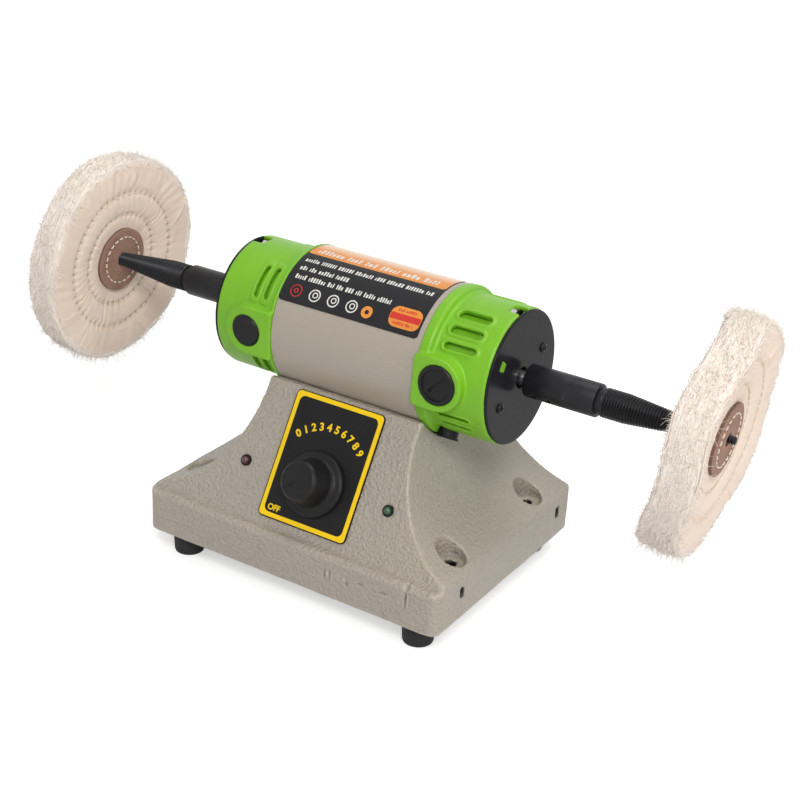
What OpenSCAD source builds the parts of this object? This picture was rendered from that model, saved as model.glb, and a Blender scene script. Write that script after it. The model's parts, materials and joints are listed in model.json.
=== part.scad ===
// Small two-ended bench polisher: a cast base with a speed knob carries a brush motor, and each
// end of the motor's shaft turns a tapered spindle with a stitched cloth wheel.
// Millimetres. X runs along the motor and Y to the rear, and Z is 0 under the feet.
// The origin is under the middle of the motor, half way between the base's front and rear.

/* [Base casting] */
// Width of the base rim, along the motor
base_w = 193; // [188:1:205]
// Depth of the base rim, front to rear
base_d = 150; // [146:1:158]
// Height of the rim, from its lower edge to the front ledge
rim_h = 25.5; // [23:0.5:29]
// Radius of the rim's upright corners
rim_corner_r = 6; // [3:0.5:10]
// Radius that rounds the rim's upper edge
rim_edge_r = 4; // [2:0.5:6]
// How far the rim's middle lies to the left of the motor's
rim_offset = 3.6; // [0:0.1:4]
// Wall thickness of the casting
cast_wall = 5; // [4:0.5:6]
// Height of the column's top above the bench
column_top_z = 107.5; // [104:0.5:110]
// Half the column's width under the motor
column_half = 49.6; // [46:0.2:49.6]
// Thickness of the saddle's lip on each side of the motor
saddle_lip = 4; // [3:0.5:6]
// Thickness of the saddle's floor under the motor
saddle_floor = 6; // [5:0.5:8]
// Tilt of the front face from the upright, in degrees
front_tilt = 30.65; // [28:0.05:32]
// Width of the ledge behind the rear face
rear_ledge = 0.7; // [0.5:0.1:4]
// Radius of the concave flanks
flank_r = 64; // [60:1:68]
// Height at which the flanks run out, above the rim
flank_end = 1.5; // [1.5:0.1:3]
// Radius of the fillet between the front face and its ledge
ledge_fillet_r = 4; // [2:0.5:6]
// Distance between the bench bolts along the motor
bench_pitch_x = 168; // [162:1:172]
// Distance between the bench bolts, front to rear
bench_pitch_y = 84; // [76:1:90]
// Diameter of the bench bolt holes
bench_hole_d = 6; // [5:0.5:7]
// Diameter of the scoops cut into the flanks over the bench bolts
scoop_d = 17; // [14:0.5:18]

/* [Feet and bottom plate] */
// Height of the rubber feet
foot_h = 14.5; // [12:0.5:18]
// Diameter of the feet at the bench
foot_d = 17.2; // [15:0.2:19]
// Diameter of the feet where they meet the plate
foot_top_d = 20; // [19:0.2:22]
// Distance between the feet along the motor
foot_pitch_x = 156; // [148:1:160]
// Distance between the feet, front to rear
foot_pitch_y = 121.6; // [112:0.2:123]
// Thickness of the bottom plate
plate_t = 1.5; // [1:0.1:2.5]
// Length of the foot screws' shanks
foot_screw_l = 17; // [14:0.5:20]

/* [Control panel] */
// Width of the panel plate
panel_w = 57.6; // [52:0.2:62]
// Height of the panel plate, along the slope
panel_h = 72.5; // [70:0.5:74]
// Thickness of the panel plate
panel_t = 1; // [0.6:0.1:1.5]
// Height of the panel's middle above the bench
panel_z = 75; // [74:0.5:76]
// Height of the knob's centre above the bench
knob_z = 65.6; // [63:0.2:70]
// Diameter of the knob's skirt
knob_d = 37; // [32:0.5:42]
// Diameter of the knob's grip at its front
grip_d = 22; // [18:0.5:26]
// Height of the knob
knob_h = 18.5; // [16:0.5:22]
// Distance of each lamp from the middle
lamp_x = 47; // [42:0.5:49]
// Diameter of the lamps' bezels
lamp_d = 6.4; // [5:0.2:8]
// Diameter of the potentiometer's body
pot_d = 24; // [18:1:26]

/* [Motor] */
// Height of the motor's axis above the bench
motor_z = 132.8; // [130:0.2:136]
// Distance of the motor's axis behind the middle of the base
motor_y = 7.65; // [6:0.05:9]
// Diameter of the steel casing
casing_d = 81.4; // [80:0.2:83]
// Length of the steel casing
casing_len = 92.8; // [92.4:0.2:96]
// Wall thickness of the steel casing
casing_wall = 2; // [1.5:0.1:2.5]
// How far the end housings lie inside the casing's surface
housing_step = 3.1; // [2.7:0.1:3.4]
// How far the housings' flanges stand out from the casing's surface
flange_rise = 0.5; // [0.3:0.1:1.3]
// Length of each housing outside the casing
housing_len = 40; // [39:0.2:41]
// Wall thickness of the housings
housing_wall = 2.5; // [2:0.1:3]
// Width of the right housing's flange
right_flange_w = 6; // [4:0.5:8]
// Width of the left housing's flange
left_flange_w = 2.5; // [2:0.5:4]
// How far the end discs lie inside the housings' surface
disc_inset = 0.6; // [0.4:0.1:1.6]
// Thickness of the end discs
disc_t = 1.5; // [1:0.1:2]
// Radius of the circle that the discs' screws lie on
disc_screw_r = 24; // [22:0.5:27]
// Distance of the brushes from the middle of the motor
brush_x = 61; // [60:0.5:62]
// Turn of the brush caps above the level of the axis, in degrees
brush_rise = 4; // [0:0.5:4]
// Half the height of the pads around the brush caps
brush_pad_r = 14.4; // [14:0.2:14.8]
// Diameter of the brush caps
brush_cap_d = 21.6; // [18:0.2:24]
// Distance of the left housing's plugs from the middle of the motor
plug_x = 63; // [62.5:0.5:66]
// Diameter of the left housing's plugs
plug_d = 18; // [15:0.5:20]
// Diameter of the armature
armature_d = 44; // [40:0.5:46]
// Length of the armature and stator stacks
core_len = 50; // [44:1:56]
// Diameter of the commutator
commutator_d = 24; // [22:0.5:26]
// Diameter of the cooling fan
fan_d = 56; // [48:1:57]

/* [Spindles] */
// Diameter of the motor shaft in its bearings and in the spindles
shaft_d = 8; // [7:0.5:9]
// Diameter of the spindles' sleeves
sleeve_d = 18; // [16:0.5:20]
// Distance of the sleeves' inner ends from the middle of the motor
sleeve_x0 = 92.5; // [91.5:0.5:94]
// Distance of the sleeves' outer ends from the middle of the motor
sleeve_x1 = 134; // [130:0.5:138]
// Width of the neck between the sleeve and the screw
neck_w = 3; // [2:0.5:4]
// Diameter of the screw beside the neck
screw_d = 16; // [14:0.5:17]
// Length of the screw before it starts to taper
screw_straight = 12; // [8:1:16]
// Distance of the spindles' tips from the middle of the motor
tip_x = 208.5; // [207:0.5:214]
// Diameter of the spindles' tips
tip_d = 4.4; // [3:0.2:6]

/* [Cloth wheels] */
// Diameter of the cloth wheels
wheel_d = 127; // [110:1:128]
// Thickness of the cloth between the leather washers
hub_t = 11; // [8:0.5:14]
// Thickness of the cloth at the rim
rim_t = 18; // [14:0.5:22]
// Distance of the wheels' centres from the middle of the motor
wheel_x = 196.5; // [194:0.5:198]
// Lean of the left wheel's top towards the motor, in degrees
left_wheel_lean = 4.8; // [0:0.2:8]
// Lean of the right wheel's top away from the motor, in degrees
right_wheel_lean = 5.8; // [0:0.2:10]
// Turn of the right wheel towards the rear, in degrees
right_wheel_turn = 2.4; // [0:0.2:6]
// Diameter of the leather washers
washer_d = 39.6; // [34:0.2:44]
// Thickness of the leather washers
washer_t = 2.2; // [1.5:0.1:3]
// Radius of the inner ring of stitches
stitch_r_in = 28.5; // [26:0.5:32]
// Radius of the outer ring of stitches
stitch_r_out = 42.5; // [38:0.5:46]

/* [Hidden] */
$fn = 96;
cut = 1;
seat_gap = 0.1;
slide_gap = 0.3;
run_gap = 0.04;
press_gap = 0.02;
casing_r = casing_d / 2;
casing_in_r = casing_r - casing_wall;
casing_half = casing_len / 2;
housing_r = casing_r - housing_step;
housing_in_r = housing_r - housing_wall;
flange_r = casing_r + flange_rise;
disc_r = housing_r - disc_inset;
housing_end = casing_half + housing_len;
rim_x = -rim_offset;
rim_z0 = foot_h;
rim_z1 = rim_z0 + rim_h;
plate_top = rim_z0 + plate_t;
saddle_half = sqrt(pow(casing_r, 2) - pow(motor_z - column_top_z, 2));
front_top_y = motor_y - saddle_half - saddle_lip;
rear_top_y = motor_y + saddle_half + saddle_lip;
rear_tilt = atan2(base_d / 2 - rear_ledge - rear_top_y, column_top_z - rim_z1);
cavity_top = motor_z - casing_r - saddle_floor;
flank_cx = column_half + flank_r;
spigot_l = 4;
spigot_r = casing_in_r - seat_gap;
web_x = housing_end - 14.4;
web_t = 3;
bearing_w = 7;
bearing_r = 11;
bearing_x = web_x + 2;
hub_r = 14;
shoulder_r = 6;
bolt_circle = housing_r - 4.3;
tie_r = 2;
tie_head_x = housing_end - 7.4;
tie_head_l = 3.5;
brush_pad_face = flange_r + 1.8;
brush_pad_x0 = casing_half - 0.4;
brush_angles = [90 - brush_rise, -90 - brush_rise];
plug_angles = [90, -90];
plug_pad_face = flange_r + 0.3;
cap_seat = brush_pad_face - 5;
cap_head_seat = casing_r + slide_gap;
cap_body_r = brush_cap_d / 2 - 2.4;
face_gap = 0.02;
edge_over = 0.15;
commutator_l = 16;
yoke_in_r = casing_r - 9.7;
pole_w = 20;
brush_l = 16;
brush_w = 6;
brush_b = 8;
holder_r = 6.4;
plug_hole_r = plug_d / 2;
vent_x0 = 57.5;
vent_x1 = 76.5;
vent_lip = 1.6;
vent_rise = 0.6;
sleeve_r = sleeve_d / 2;
shaft_r = shaft_d / 2;
shaft_end = sleeve_x0 + 19.5;
screw_x0 = sleeve_x1 + neck_w;
taper_x0 = screw_x0 + screw_straight;
set_screw_x = [sleeve_x0 + 7, sleeve_x0 + 15.8];
set_screw_r = 2.5;
set_screw_angle = 130;
disc_screw_angle = 114;
window_angle = 58;
window_r = 22.6;
window_w = 5.4;
rating_a0 = -8;
rating_a1 = 58.5;
rating_x0 = 0.4 - casing_half;
rating_x1 = casing_half - 3.2;
rating_t = 0.3;
foot_xs = [rim_x - foot_pitch_x / 2, rim_x + foot_pitch_x / 2];
foot_ys = [-foot_pitch_y / 2, foot_pitch_y / 2];
bench_xs = [rim_x - bench_pitch_x / 2, rim_x + bench_pitch_x / 2];
bench_ys = [-bench_pitch_y / 2, bench_pitch_y / 2];
post_r = 5;
pillar_r = scoop_d / 2 + 1.5;
scoop_rise = 0.8;
foot_screw_r = 2;
foot_recess_h = 8;
board_w = 76;
board_d = 50;
board_t = 1.6;
board_y = 12;
board_z = plate_top + 9;
board_screw_inset = 5;
board_screw_r = 1.25;
knob_gap = 0.4;
pot_depth = 12;
bush_r = 3.5;
nut_t = 2.2;
spindle_knob_r = 3;
grommet_x = -45;
grommet_z = 58;
grommet_r = 6.5;
wire_plug_x = casing_half + 10.2;
wire_plug_angle = 152;
wire_plug_r = 5.5;
wire_plug_lip = flange_r + 0.2;
motor_bolt_x = 25;
motor_bolt_r = 2.5;
louvre_w = 3.6;
louvre_l = 16;
louvre_y = (base_d + board_d) / 4 - 4;
louvre_pitch = board_w / 7.6;
slot_w = 3;
slot_h = 6.5;
slot_z = rim_z0 + 16;
slot_ys = [-49, 58];
slot_slant = 8;

// Front and rear faces of the column at a height, and the screw's radius along the spindle
function front_y(z) = front_top_y - (column_top_z - z) * tan(front_tilt);
function rear_y(z) = rear_top_y + (column_top_z - z) * tan(rear_tilt);
function flank_cz(side) =
    rim_z1 + flank_end + sqrt(pow(flank_r, 2) - pow(flank_cx - abs(rim_x + side * base_w / 2), 2));
function screw_r(x) = screw_d / 2 + (tip_d - screw_d) / 2 * (x - taper_x0) / (tip_x - taper_x0);

// Places children on the front face, x to the right, y up the slope and z outwards
module on_front(x, z) {
    translate([x, front_y(z), z]) rotate([90 - front_tilt, 0, 0]) children();
}

// Places children on the rear face with z outwards
module on_rear(x, z) {
    translate([x, rear_y(z), z]) rotate([rear_tilt - 90, 0, 0]) children();
}

// Places children on the motor's axis, turned from the top towards the front, z outwards
module at_motor(x, angle) {
    translate([x, motor_y, motor_z]) rotate([angle, 0, 0]) children();
}

// Extrudes an outline drawn in Y and Z along the motor
module along_x(x0, x1) {
    translate([x0, 0, 0]) rotate([90, 0, 90]) linear_extrude(x1 - x0) children();
}

// The same, with the outline drawn about the motor's axis
module along_motor(x0, x1) {
    translate([x0, motor_y, motor_z]) rotate([90, 0, 90]) linear_extrude(x1 - x0) children();
}

// Revolves an outline drawn in radius and distance along X about the motor's axis
module turned(x = 0) {
    translate([x, motor_y, motor_z]) rotate([0, 90, 0]) rotate_extrude() children();
}

// A round bar along the motor's axis
module bar(x0, x1, r) {
    translate([x0, motor_y, motor_z]) rotate([0, 90, 0]) cylinder(h = x1 - x0, r = r);
}

module rounded_rect(w, h, r) {
    square([w - 2 * r, h], center = true);
    square([w, h - 2 * r], center = true);
    for (sx = [-1, 1], sy = [-1, 1])
        translate([sx * (w / 2 - r), sy * (h / 2 - r)]) circle(r);
}

// A wedge from the centre between two angles, counted from the top towards the front
module wedge(a0, a1, r) {
    am = (a0 + a1) / 2;
    reach = r / cos((a1 - a0) / 4);
    polygon([
        [0, 0],
        [-r * sin(a0), r * cos(a0)],
        [-reach * sin((a0 + am) / 2), reach * cos((a0 + am) / 2)],
        [-reach * sin(am), reach * cos(am)],
        [-reach * sin((a1 + am) / 2), reach * cos((a1 + am) / 2)],
        [-r * sin(a1), r * cos(a1)]
    ]);
}

// A stretch of a ring between two radii and two angles
module ring_sector(r_in, r_out, a0, a1) {
    intersection() {
        difference() {
            circle(r_out);
            circle(r_in);
        }
        wedge(a0, a1, 2 * r_out);
    }
}

// The rim's upper edge, rounded where it meets the concave flank
module flank_edge_cut(side) {
    cx = abs(rim_x + side * base_w / 2) - rim_edge_r;
    cz = flank_cz(side) - sqrt(pow(flank_r + rim_edge_r, 2) - pow(flank_cx - cx, 2));
    reach = 4 * rim_edge_r;
    lean = atan2(flank_cz(side) - cz, flank_cx - cx);
    scale([side, 1]) difference() {
        translate([cx, cz])
            polygon([[0, 0], [reach, 0], [reach, reach], [reach * cos(lean), reach * sin(lean)]]);
        translate([cx, cz]) circle(rim_edge_r);
    }
}

// The base from the front, drawn in X and Z
module front_outline(inset, top) {
    difference() {
        translate([rim_x - base_w / 2 + inset, rim_z0 - inset])
            square([base_w - 2 * inset, top - rim_z0 + inset]);
        for (side = [-1, 1])
            translate([side * flank_cx, flank_cz(side)]) circle(flank_r + inset);
    }
}

// The base from the side, drawn in Y and Z, with its front ledge rounded and filleted
module side_outline() {
    toe_y = front_y(rim_z1);
    heel_y = rear_y(rim_z1);
    fillet = ledge_fillet_r * tan((90 - front_tilt) / 2);
    edge_y = rim_edge_r - base_d / 2;
    difference() {
        polygon([
            [-base_d / 2, rim_z0], [-base_d / 2, rim_z1], [toe_y - fillet, rim_z1],
            [toe_y - fillet, rim_z1 + ledge_fillet_r],
            [toe_y + fillet * sin(front_tilt), rim_z1 + fillet * cos(front_tilt)],
            [front_top_y, column_top_z], [rear_top_y, column_top_z], [heel_y, rim_z1],
            [max(base_d / 2, heel_y), rim_z1], [max(base_d / 2, heel_y), rim_z0]
        ]);
        translate([toe_y - fillet, rim_z1 + ledge_fillet_r]) circle(ledge_fillet_r);
        difference() {
            translate([edge_y - rim_edge_r - cut, rim_z1 - rim_edge_r])
                square([rim_edge_r + cut, rim_edge_r + cut]);
            translate([edge_y, rim_z1 - rim_edge_r]) circle(rim_edge_r + edge_over);
        }
    }
}

module casting_outside() {
    intersection() {
        translate([0, base_d, 0]) rotate([90, 0, 0]) linear_extrude(2 * base_d) difference() {
            front_outline(0, column_top_z);
            flank_edge_cut(-1);
            flank_edge_cut(1);
        }
        along_x(-base_w, base_w) side_outline();
        translate([rim_x, 0, rim_z0]) linear_extrude(column_top_z - rim_z0)
            rounded_rect(base_w, base_d, rim_corner_r);
    }
}

// The hollow inside the casting, open at the bottom
module casting_inside() {
    in_front = cast_wall / cos(front_tilt);
    in_rear = cast_wall / cos(rear_tilt);
    low = rim_z0 - cut;
    step = rim_z1 - cast_wall;
    intersection() {
        translate([0, base_d, 0]) rotate([90, 0, 0]) linear_extrude(2 * base_d)
            front_outline(cast_wall, cavity_top);
        along_x(-base_w, base_w) polygon([
            [-base_d / 2, low], [-base_d / 2, step], [front_y(step) + in_front, step],
            [front_y(cavity_top) + in_front, cavity_top], [rear_y(cavity_top) - in_rear, cavity_top],
            [rear_y(step) - in_rear, step], [base_d / 2, step], [base_d / 2, low]
        ]);
        translate([rim_x, 0, low]) linear_extrude(cavity_top - low)
            rounded_rect(base_w - 2 * cast_wall, base_d - 2 * cast_wall, rim_corner_r);
    }
}

module at_feet() {
    for (x = foot_xs, y = foot_ys) translate([x, y, 0]) children();
}

module at_bench_bolts() {
    for (x = bench_xs, y = bench_ys) translate([x, y, 0]) children();
}

module base_casting() {
    color([0.67, 0.63, 0.57]) difference() {
        casting_outside();
        difference() {
            casting_inside();
            at_feet() translate([0, 0, plate_top]) cylinder(h = column_top_z, r = post_r);
            at_bench_bolts() translate([0, 0, plate_top]) cylinder(h = column_top_z, r = pillar_r);
        }
        bar(-base_w, base_w, casing_r + seat_gap);
        for (side = [-1, 1]) bar(side > 0 ? casing_half - slide_gap : -base_w,
            side > 0 ? base_w : slide_gap - casing_half, flange_r + slide_gap);
        at_feet() translate([0, 0, rim_z0]) {
            cylinder(h = foot_screw_l, r = foot_screw_r + press_gap);
        }
        at_bench_bolts() cylinder(h = column_top_z, d = bench_hole_d);
        at_bench_bolts() translate([0, 0, rim_z1 + scoop_rise]) cylinder(h = column_top_z, d = scoop_d);
        on_front(0, knob_z) translate([0, 0, -2 * cast_wall])
            cylinder(h = 3 * cast_wall, r = bush_r + seat_gap);
        for (side = [-1, 1]) on_front(side * lamp_x, knob_z) translate([0, 0, -2 * cast_wall])
            cylinder(h = 3 * cast_wall, r = lamp_d / 2 - 0.3);
        on_rear(grommet_x, grommet_z) translate([0, 0, -2 * cast_wall])
            cylinder(h = 3 * cast_wall, r = grommet_r + seat_gap);
        for (side = [-1, 1]) translate([side * motor_bolt_x, motor_y, cavity_top - cut])
            cylinder(h = column_top_z - cavity_top, r = motor_bolt_r + seat_gap);
        for (side = [-1, 1], y = slot_ys)
            translate([rim_x + side * (base_w / 2 - cast_wall / 2), y, slot_z])
                rotate([slot_slant, 0, 0]) cube([2 * cast_wall, slot_w, slot_h], center = true);
    }
}

module bottom_plate() {
    plate_gap = cast_wall + slide_gap;
    color([0.45, 0.46, 0.47]) difference() {
        union() {
            translate([rim_x, 0, rim_z0]) linear_extrude(plate_t)
                rounded_rect(base_w - 2 * plate_gap, base_d - 2 * plate_gap, rim_corner_r);
            at_board_screws() translate([0, 0, plate_top]) cylinder(h = board_z - plate_top, r = 3);
        }
        at_feet() cylinder(h = plate_top + cut, r = foot_screw_r + seat_gap);
        at_bench_bolts() cylinder(h = plate_top + cut, d = bench_hole_d + 1.5);
        at_board_screws() cylinder(h = board_z + cut, r = board_screw_r + press_gap);
        for (row = [-1, 1], i = [-4:4])
            translate([rim_x + i * louvre_pitch, row * louvre_y, rim_z0 - cut])
                linear_extrude(plate_t + 2 * cut) rounded_rect(louvre_w, louvre_l, louvre_w / 2 - 0.1);
    }
}

module rubber_feet() {
    color([0.1, 0.1, 0.11]) at_feet() difference() {
        union() {
            cylinder(h = 2, d1 = foot_d - 1.6, d2 = foot_d);
            translate([0, 0, 2]) cylinder(h = foot_h - 2, d1 = foot_d, d2 = foot_top_d);
        }
        translate([0, 0, -cut]) cylinder(h = foot_recess_h + cut, r = 4.8);
        cylinder(h = foot_h + cut, r = foot_screw_r + seat_gap);
    }
}

module foot_screws() {
    color("silver") at_feet() translate([0, 0, foot_recess_h]) {
        difference() {
            union() {
                translate([0, 0, -2.6]) cylinder(h = 2.6, r = 4);
                cylinder(h = rim_z0 + foot_screw_l - foot_recess_h - 1, r = foot_screw_r);
            }
            for (a = [0, 90]) translate([0, 0, -2.6]) rotate([0, 0, a])
                cube([4.5, 0.9, 2.4], center = true);
        }
    }
}

module control_panel() {
    drop = (knob_z - panel_z) / cos(front_tilt);
    color([0.1, 0.1, 0.1]) on_front(0, panel_z) difference() {
        translate([0, 0, face_gap]) linear_extrude(panel_t - face_gap) rounded_rect(panel_w, panel_h, 3.2);
        translate([0, drop, -cut]) cylinder(h = panel_t + 2 * cut, r = bush_r + seat_gap);
    }
}

module potentiometer() {
    color([0.6, 0.58, 0.5]) on_front(0, knob_z) difference() {
        union() {
            translate([0, 0, -cast_wall - pot_depth]) cylinder(h = pot_depth - face_gap, d = pot_d);
            translate([0, 0, -cast_wall - cut])
                cylinder(h = cast_wall + cut + panel_t + nut_t + 1, r = bush_r);
            translate([-7, -pot_d / 2 - 6, -cast_wall - 5]) cube([14, 9, 1.6]);
        }
        translate([0, 0, -cast_wall - pot_depth + 2])
            cylinder(h = 3 * pot_depth, r = spindle_knob_r + run_gap);
    }
}

module potentiometer_nut() {
    color("silver") on_front(0, knob_z) translate([0, 0, panel_t + face_gap]) difference() {
        cylinder(h = nut_t, r = 6.2, $fn = 6);
        translate([0, 0, -cut]) cylinder(h = nut_t + 2 * cut, r = bush_r + press_gap);
    }
}

module potentiometer_shaft() {
    base = -cast_wall - pot_depth + 2.2;
    color("silver") on_front(0, knob_z) difference() {
        translate([0, 0, base]) cylinder(h = panel_t + knob_gap + knob_h - 4.2 - base, r = spindle_knob_r);
        translate([-5, 1.6, panel_t + nut_t + 3]) cube([10, 4, knob_h]);
    }
}

// The knob's pointer shows the off mark, low on the panel's left
module speed_knob() {
    off_angle = 225;
    skirt = knob_d / 2;
    grip = grip_d / 2;
    color([0.07, 0.07, 0.07]) on_front(0, knob_z) translate([0, 0, panel_t + knob_gap]) difference() {
        union() {
            rotate_extrude() polygon([
                [0, 0], [skirt, 0], [skirt, 1.6], [skirt - 1, 2.8], [grip + 3.4, 3.4],
                [grip + 2, 5], [grip, knob_h - 1.5], [grip - 1.5, knob_h], [0, knob_h]
            ]);
            rotate([0, 0, off_angle]) translate([grip - 1.5, -0.9, 2.6])
                cube([skirt - grip + 0.3, 1.8, 1.2]);
            for (i = [0:17]) rotate([0, 0, off_angle + 20 * i]) translate([grip + 0.9, 0, 5])
                rotate([0, -8, 0]) cylinder(h = knob_h - 8.5, r = 0.9);
        }
        rotate([0, 0, off_angle]) translate([2, -0.6, knob_h - 0.8]) cube([grip, 1.2, 2]);
        translate([0, 0, -cut]) cylinder(h = nut_t + 1.8 + cut, r = 8.5);
        cylinder(h = knob_h - 4, r = spindle_knob_r + press_gap);
    }
}

module lamp_bezels() {
    color([0.12, 0.12, 0.12]) for (side = [-1, 1]) on_front(side * lamp_x, knob_z)
        rotate_extrude() polygon([
            [lamp_d / 2 - 0.8, -cast_wall], [lamp_d / 2 - 0.4, -cast_wall], [lamp_d / 2 - 0.4, 0],
            [lamp_d / 2, 0], [lamp_d / 2 - 0.2, 0.8], [lamp_d / 2 - 0.8, 0.8]
        ]);
}

module lamp_lens(side) {
    r = lamp_d / 2 - 0.85;
    on_front(side * lamp_x, knob_z) {
        translate([0, 0, -cast_wall - 2]) cylinder(h = cast_wall + 2.4, r = r);
        translate([0, 0, 0.4]) intersection() {
            sphere(r);
            cylinder(h = r, r = r);
        }
    }
}

module red_lamp() {
    color([0.45, 0.1, 0.07]) lamp_lens(-1);
}

module green_lamp() {
    color([0.03, 0.25, 0.12]) lamp_lens(1);
}

module cable_grommet() {
    lip = 2;
    color([0.08, 0.08, 0.08]) on_rear(grommet_x, grommet_z) rotate_extrude() polygon([
        [3.4, -cast_wall - lip], [grommet_r + 1.2, -cast_wall - lip],
        [grommet_r + 1.6, -cast_wall - face_gap], [grommet_r, -cast_wall - face_gap],
        [grommet_r, face_gap], [grommet_r + 2.2, face_gap],
        [grommet_r + 1.4, lip], [4.4, lip + 0.6], [3.4, lip]
    ]);
}

module at_board_screws() {
    for (sx = [-1, 1], sy = [-1, 1])
        translate([rim_x + sx * (board_w / 2 - board_screw_inset),
            board_y + sy * (board_d / 2 - board_screw_inset), 0]) children();
}

module speed_board() {
    sink_x = -0.32 * board_w;
    sink_w = 0.24 * board_w;
    fin_pitch = 0.08 * board_d;
    fin_t = 0.4 * fin_pitch;
    tall = 0.48 * board_d;
    color([0.1, 0.35, 0.18]) difference() {
        union() {
            translate([rim_x - board_w / 2, board_y - board_d / 2, board_z])
                cube([board_w, board_d, board_t]);
            translate([rim_x, board_y, board_z + board_t - 0.1]) {
                for (i = [-2:2]) translate([sink_x, fin_pitch * i, 0]) cube([sink_w, fin_t, tall]);
                translate([sink_x, -2 * fin_pitch, 0]) cube([fin_t, 4 * fin_pitch + fin_t, tall]);
                translate([0.1 * board_w, 0.16 * board_d, 0]) cylinder(h = 0.8 * tall, r = 0.14 * board_d);
                translate([0.32 * board_w, 0.12 * board_d, 0]) cylinder(h = 0.6 * tall, r = 0.1 * board_d);
                translate([0.05 * board_w, -0.36 * board_d, 0])
                    cube([0.29 * board_w, 0.18 * board_d, tall / 2]);
                translate([-0.29 * board_w, -0.4 * board_d, 0])
                    cube([0.26 * board_w, 0.14 * board_d, 0.4 * tall]);
            }
        }
        at_board_screws() translate([0, 0, board_z - cut])
            cylinder(h = board_t + 3 * cut, r = board_screw_r + 0.15);
    }
}

module board_screws() {
    color("silver") at_board_screws() {
        translate([0, 0, board_z + board_t]) cylinder(h = 1.8, r = 2.6);
        translate([0, 0, board_z - 6]) cylinder(h = 6 + board_t, r = 1.25);
    }
}

module motor_casing() {
    color([0.66, 0.62, 0.56]) difference() {
        bar(-casing_half, casing_half, casing_r);
        bar(-casing_half - cut, casing_half + cut, casing_in_r);
        for (side = [-1, 1]) at_motor(side * motor_bolt_x, 180)
            cylinder(h = casing_r + cut, r = motor_bolt_r + seat_gap);
    }
}

module rating_plate() {
    inner = casing_r + 0.02;
    color([0.08, 0.08, 0.08]) along_motor(rating_x0, rating_x1)
        ring_sector(inner, inner + rating_t, rating_a0, rating_a1);
}

// Cup of an end housing, drawn for the right-hand side
module housing_cup(flange_w) {
    turned() polygon([
        [housing_in_r, casing_half - spigot_l], [spigot_r, casing_half - spigot_l],
        [spigot_r, casing_half], [flange_r, casing_half], [flange_r, casing_half + flange_w - 1],
        [flange_r - 1, casing_half + flange_w], [housing_r + 0.6, casing_half + flange_w + 0.3],
        [housing_r, casing_half + flange_w + 1], [housing_r, housing_end - 0.8],
        [housing_r - 0.8, housing_end], [housing_in_r, housing_end],
        [housing_in_r, web_x + web_t], [hub_r, web_x + web_t],
        [hub_r, bearing_x + bearing_w + 1], [bearing_r + press_gap, bearing_x + bearing_w + 1],
        [bearing_r + press_gap, bearing_x], [shoulder_r + 1, bearing_x], [shoulder_r + 1, web_x],
        [housing_in_r, web_x]
    ]);
}

// Bosses and inner holes that both end housings have
module housing_bosses() {
    for (a = [0, 180]) at_motor(casing_half - spigot_l, a) translate([0, 0, bolt_circle])
        rotate([0, 90, 0]) cylinder(h = tie_head_x - casing_half + spigot_l, r = tie_r + 2.2);
    for (a = [0, 180]) at_motor(web_x, disc_screw_angle + a) translate([0, 0, disc_screw_r])
        rotate([0, 90, 0]) cylinder(h = housing_end - web_x, r = 3.6);
}

module housing_holes() {
    for (a = [0, 180]) at_motor(casing_half - spigot_l - cut, a) translate([0, 0, bolt_circle])
        rotate([0, 90, 0]) cylinder(h = housing_len + 2 * spigot_l, r = tie_r + seat_gap);
    for (a = [0, 180]) at_motor(tie_head_x, a) translate([0, -5, bolt_circle - 4])
        cube([housing_len, 10, 12]);
    for (a = [0, 180]) at_motor(housing_end - 9, disc_screw_angle + a) translate([0, 0, disc_screw_r])
        rotate([0, 90, 0]) cylinder(h = 10, r = 1.5 + press_gap);
    for (a = [45:90:315]) at_motor(web_x - cut, a) translate([0, 0, 24])
        rotate([0, 90, 0]) cylinder(h = web_t + 2 * cut, r = 5.5);
}

// Pad with a round end, standing out from the housing to the front and to the rear
module side_pads(angles, x, r, x0, face, corner_r) {
    for (a = angles) at_motor(0, a) translate([0, 0, housing_in_r / 2]) {
        linear_extrude(face - housing_in_r / 2) {
            translate([x, 0]) circle(r);
            translate([(x0 + corner_r + x) / 2, 0]) square([x - x0 - corner_r, 2 * r], center = true);
            translate([(x0 + x) / 2, 0]) square([x - x0, 2 * (r - corner_r)], center = true);
            for (s = [-1, 1]) translate([x0 + corner_r, s * (r - corner_r)]) circle(corner_r);
        }
    }
}

// Stepped holes through both pads, one list entry per step: where it starts and its radius
module side_holes(angles, x, steps) {
    for (a = angles, step = steps) at_motor(x, a)
        translate([0, 0, step[0]]) cylinder(h = 2 * flange_r - step[0], r = step[1] + seat_gap);
}

// Straight vents with raised lips, one list entry per vent: angle and width
module axial_vents(list, lip) {
    for (vent = list, side = [-1, 1]) at_motor((vent_x0 + vent_x1) / 2, side * vent[0])
        translate([0, 0, lip > 0 ? housing_in_r + 0.4 : housing_in_r - 1])
            linear_extrude(lip > 0 ? housing_wall - 0.4 + vent_rise : 3 * housing_wall)
                rounded_rect(vent_x1 - vent_x0 + 2 * lip, vent[1] + 2 * lip, vent[1] / 2 + lip - 0.2);
}

// Vents that run round the housing, one list entry per vent: place along X and both angles
module round_vents(list, lip) {
    w = slot_w + 2 * lip;
    grow = lip > 0 ? 4.5 : 0;
    r0 = lip > 0 ? housing_in_r + 0.4 : housing_in_r - 1;
    r1 = lip > 0 ? housing_r + vent_rise : flange_r + cut;
    for (vent = list, side = [-1, 1]) {
        a0 = min(side * vent[1], side * vent[2]);
        a1 = max(side * vent[1], side * vent[2]);
        along_motor(vent[0] - w / 2, vent[0] + w / 2) ring_sector(r0, r1, a0 - grow, a1 + grow);
    }
}

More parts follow.
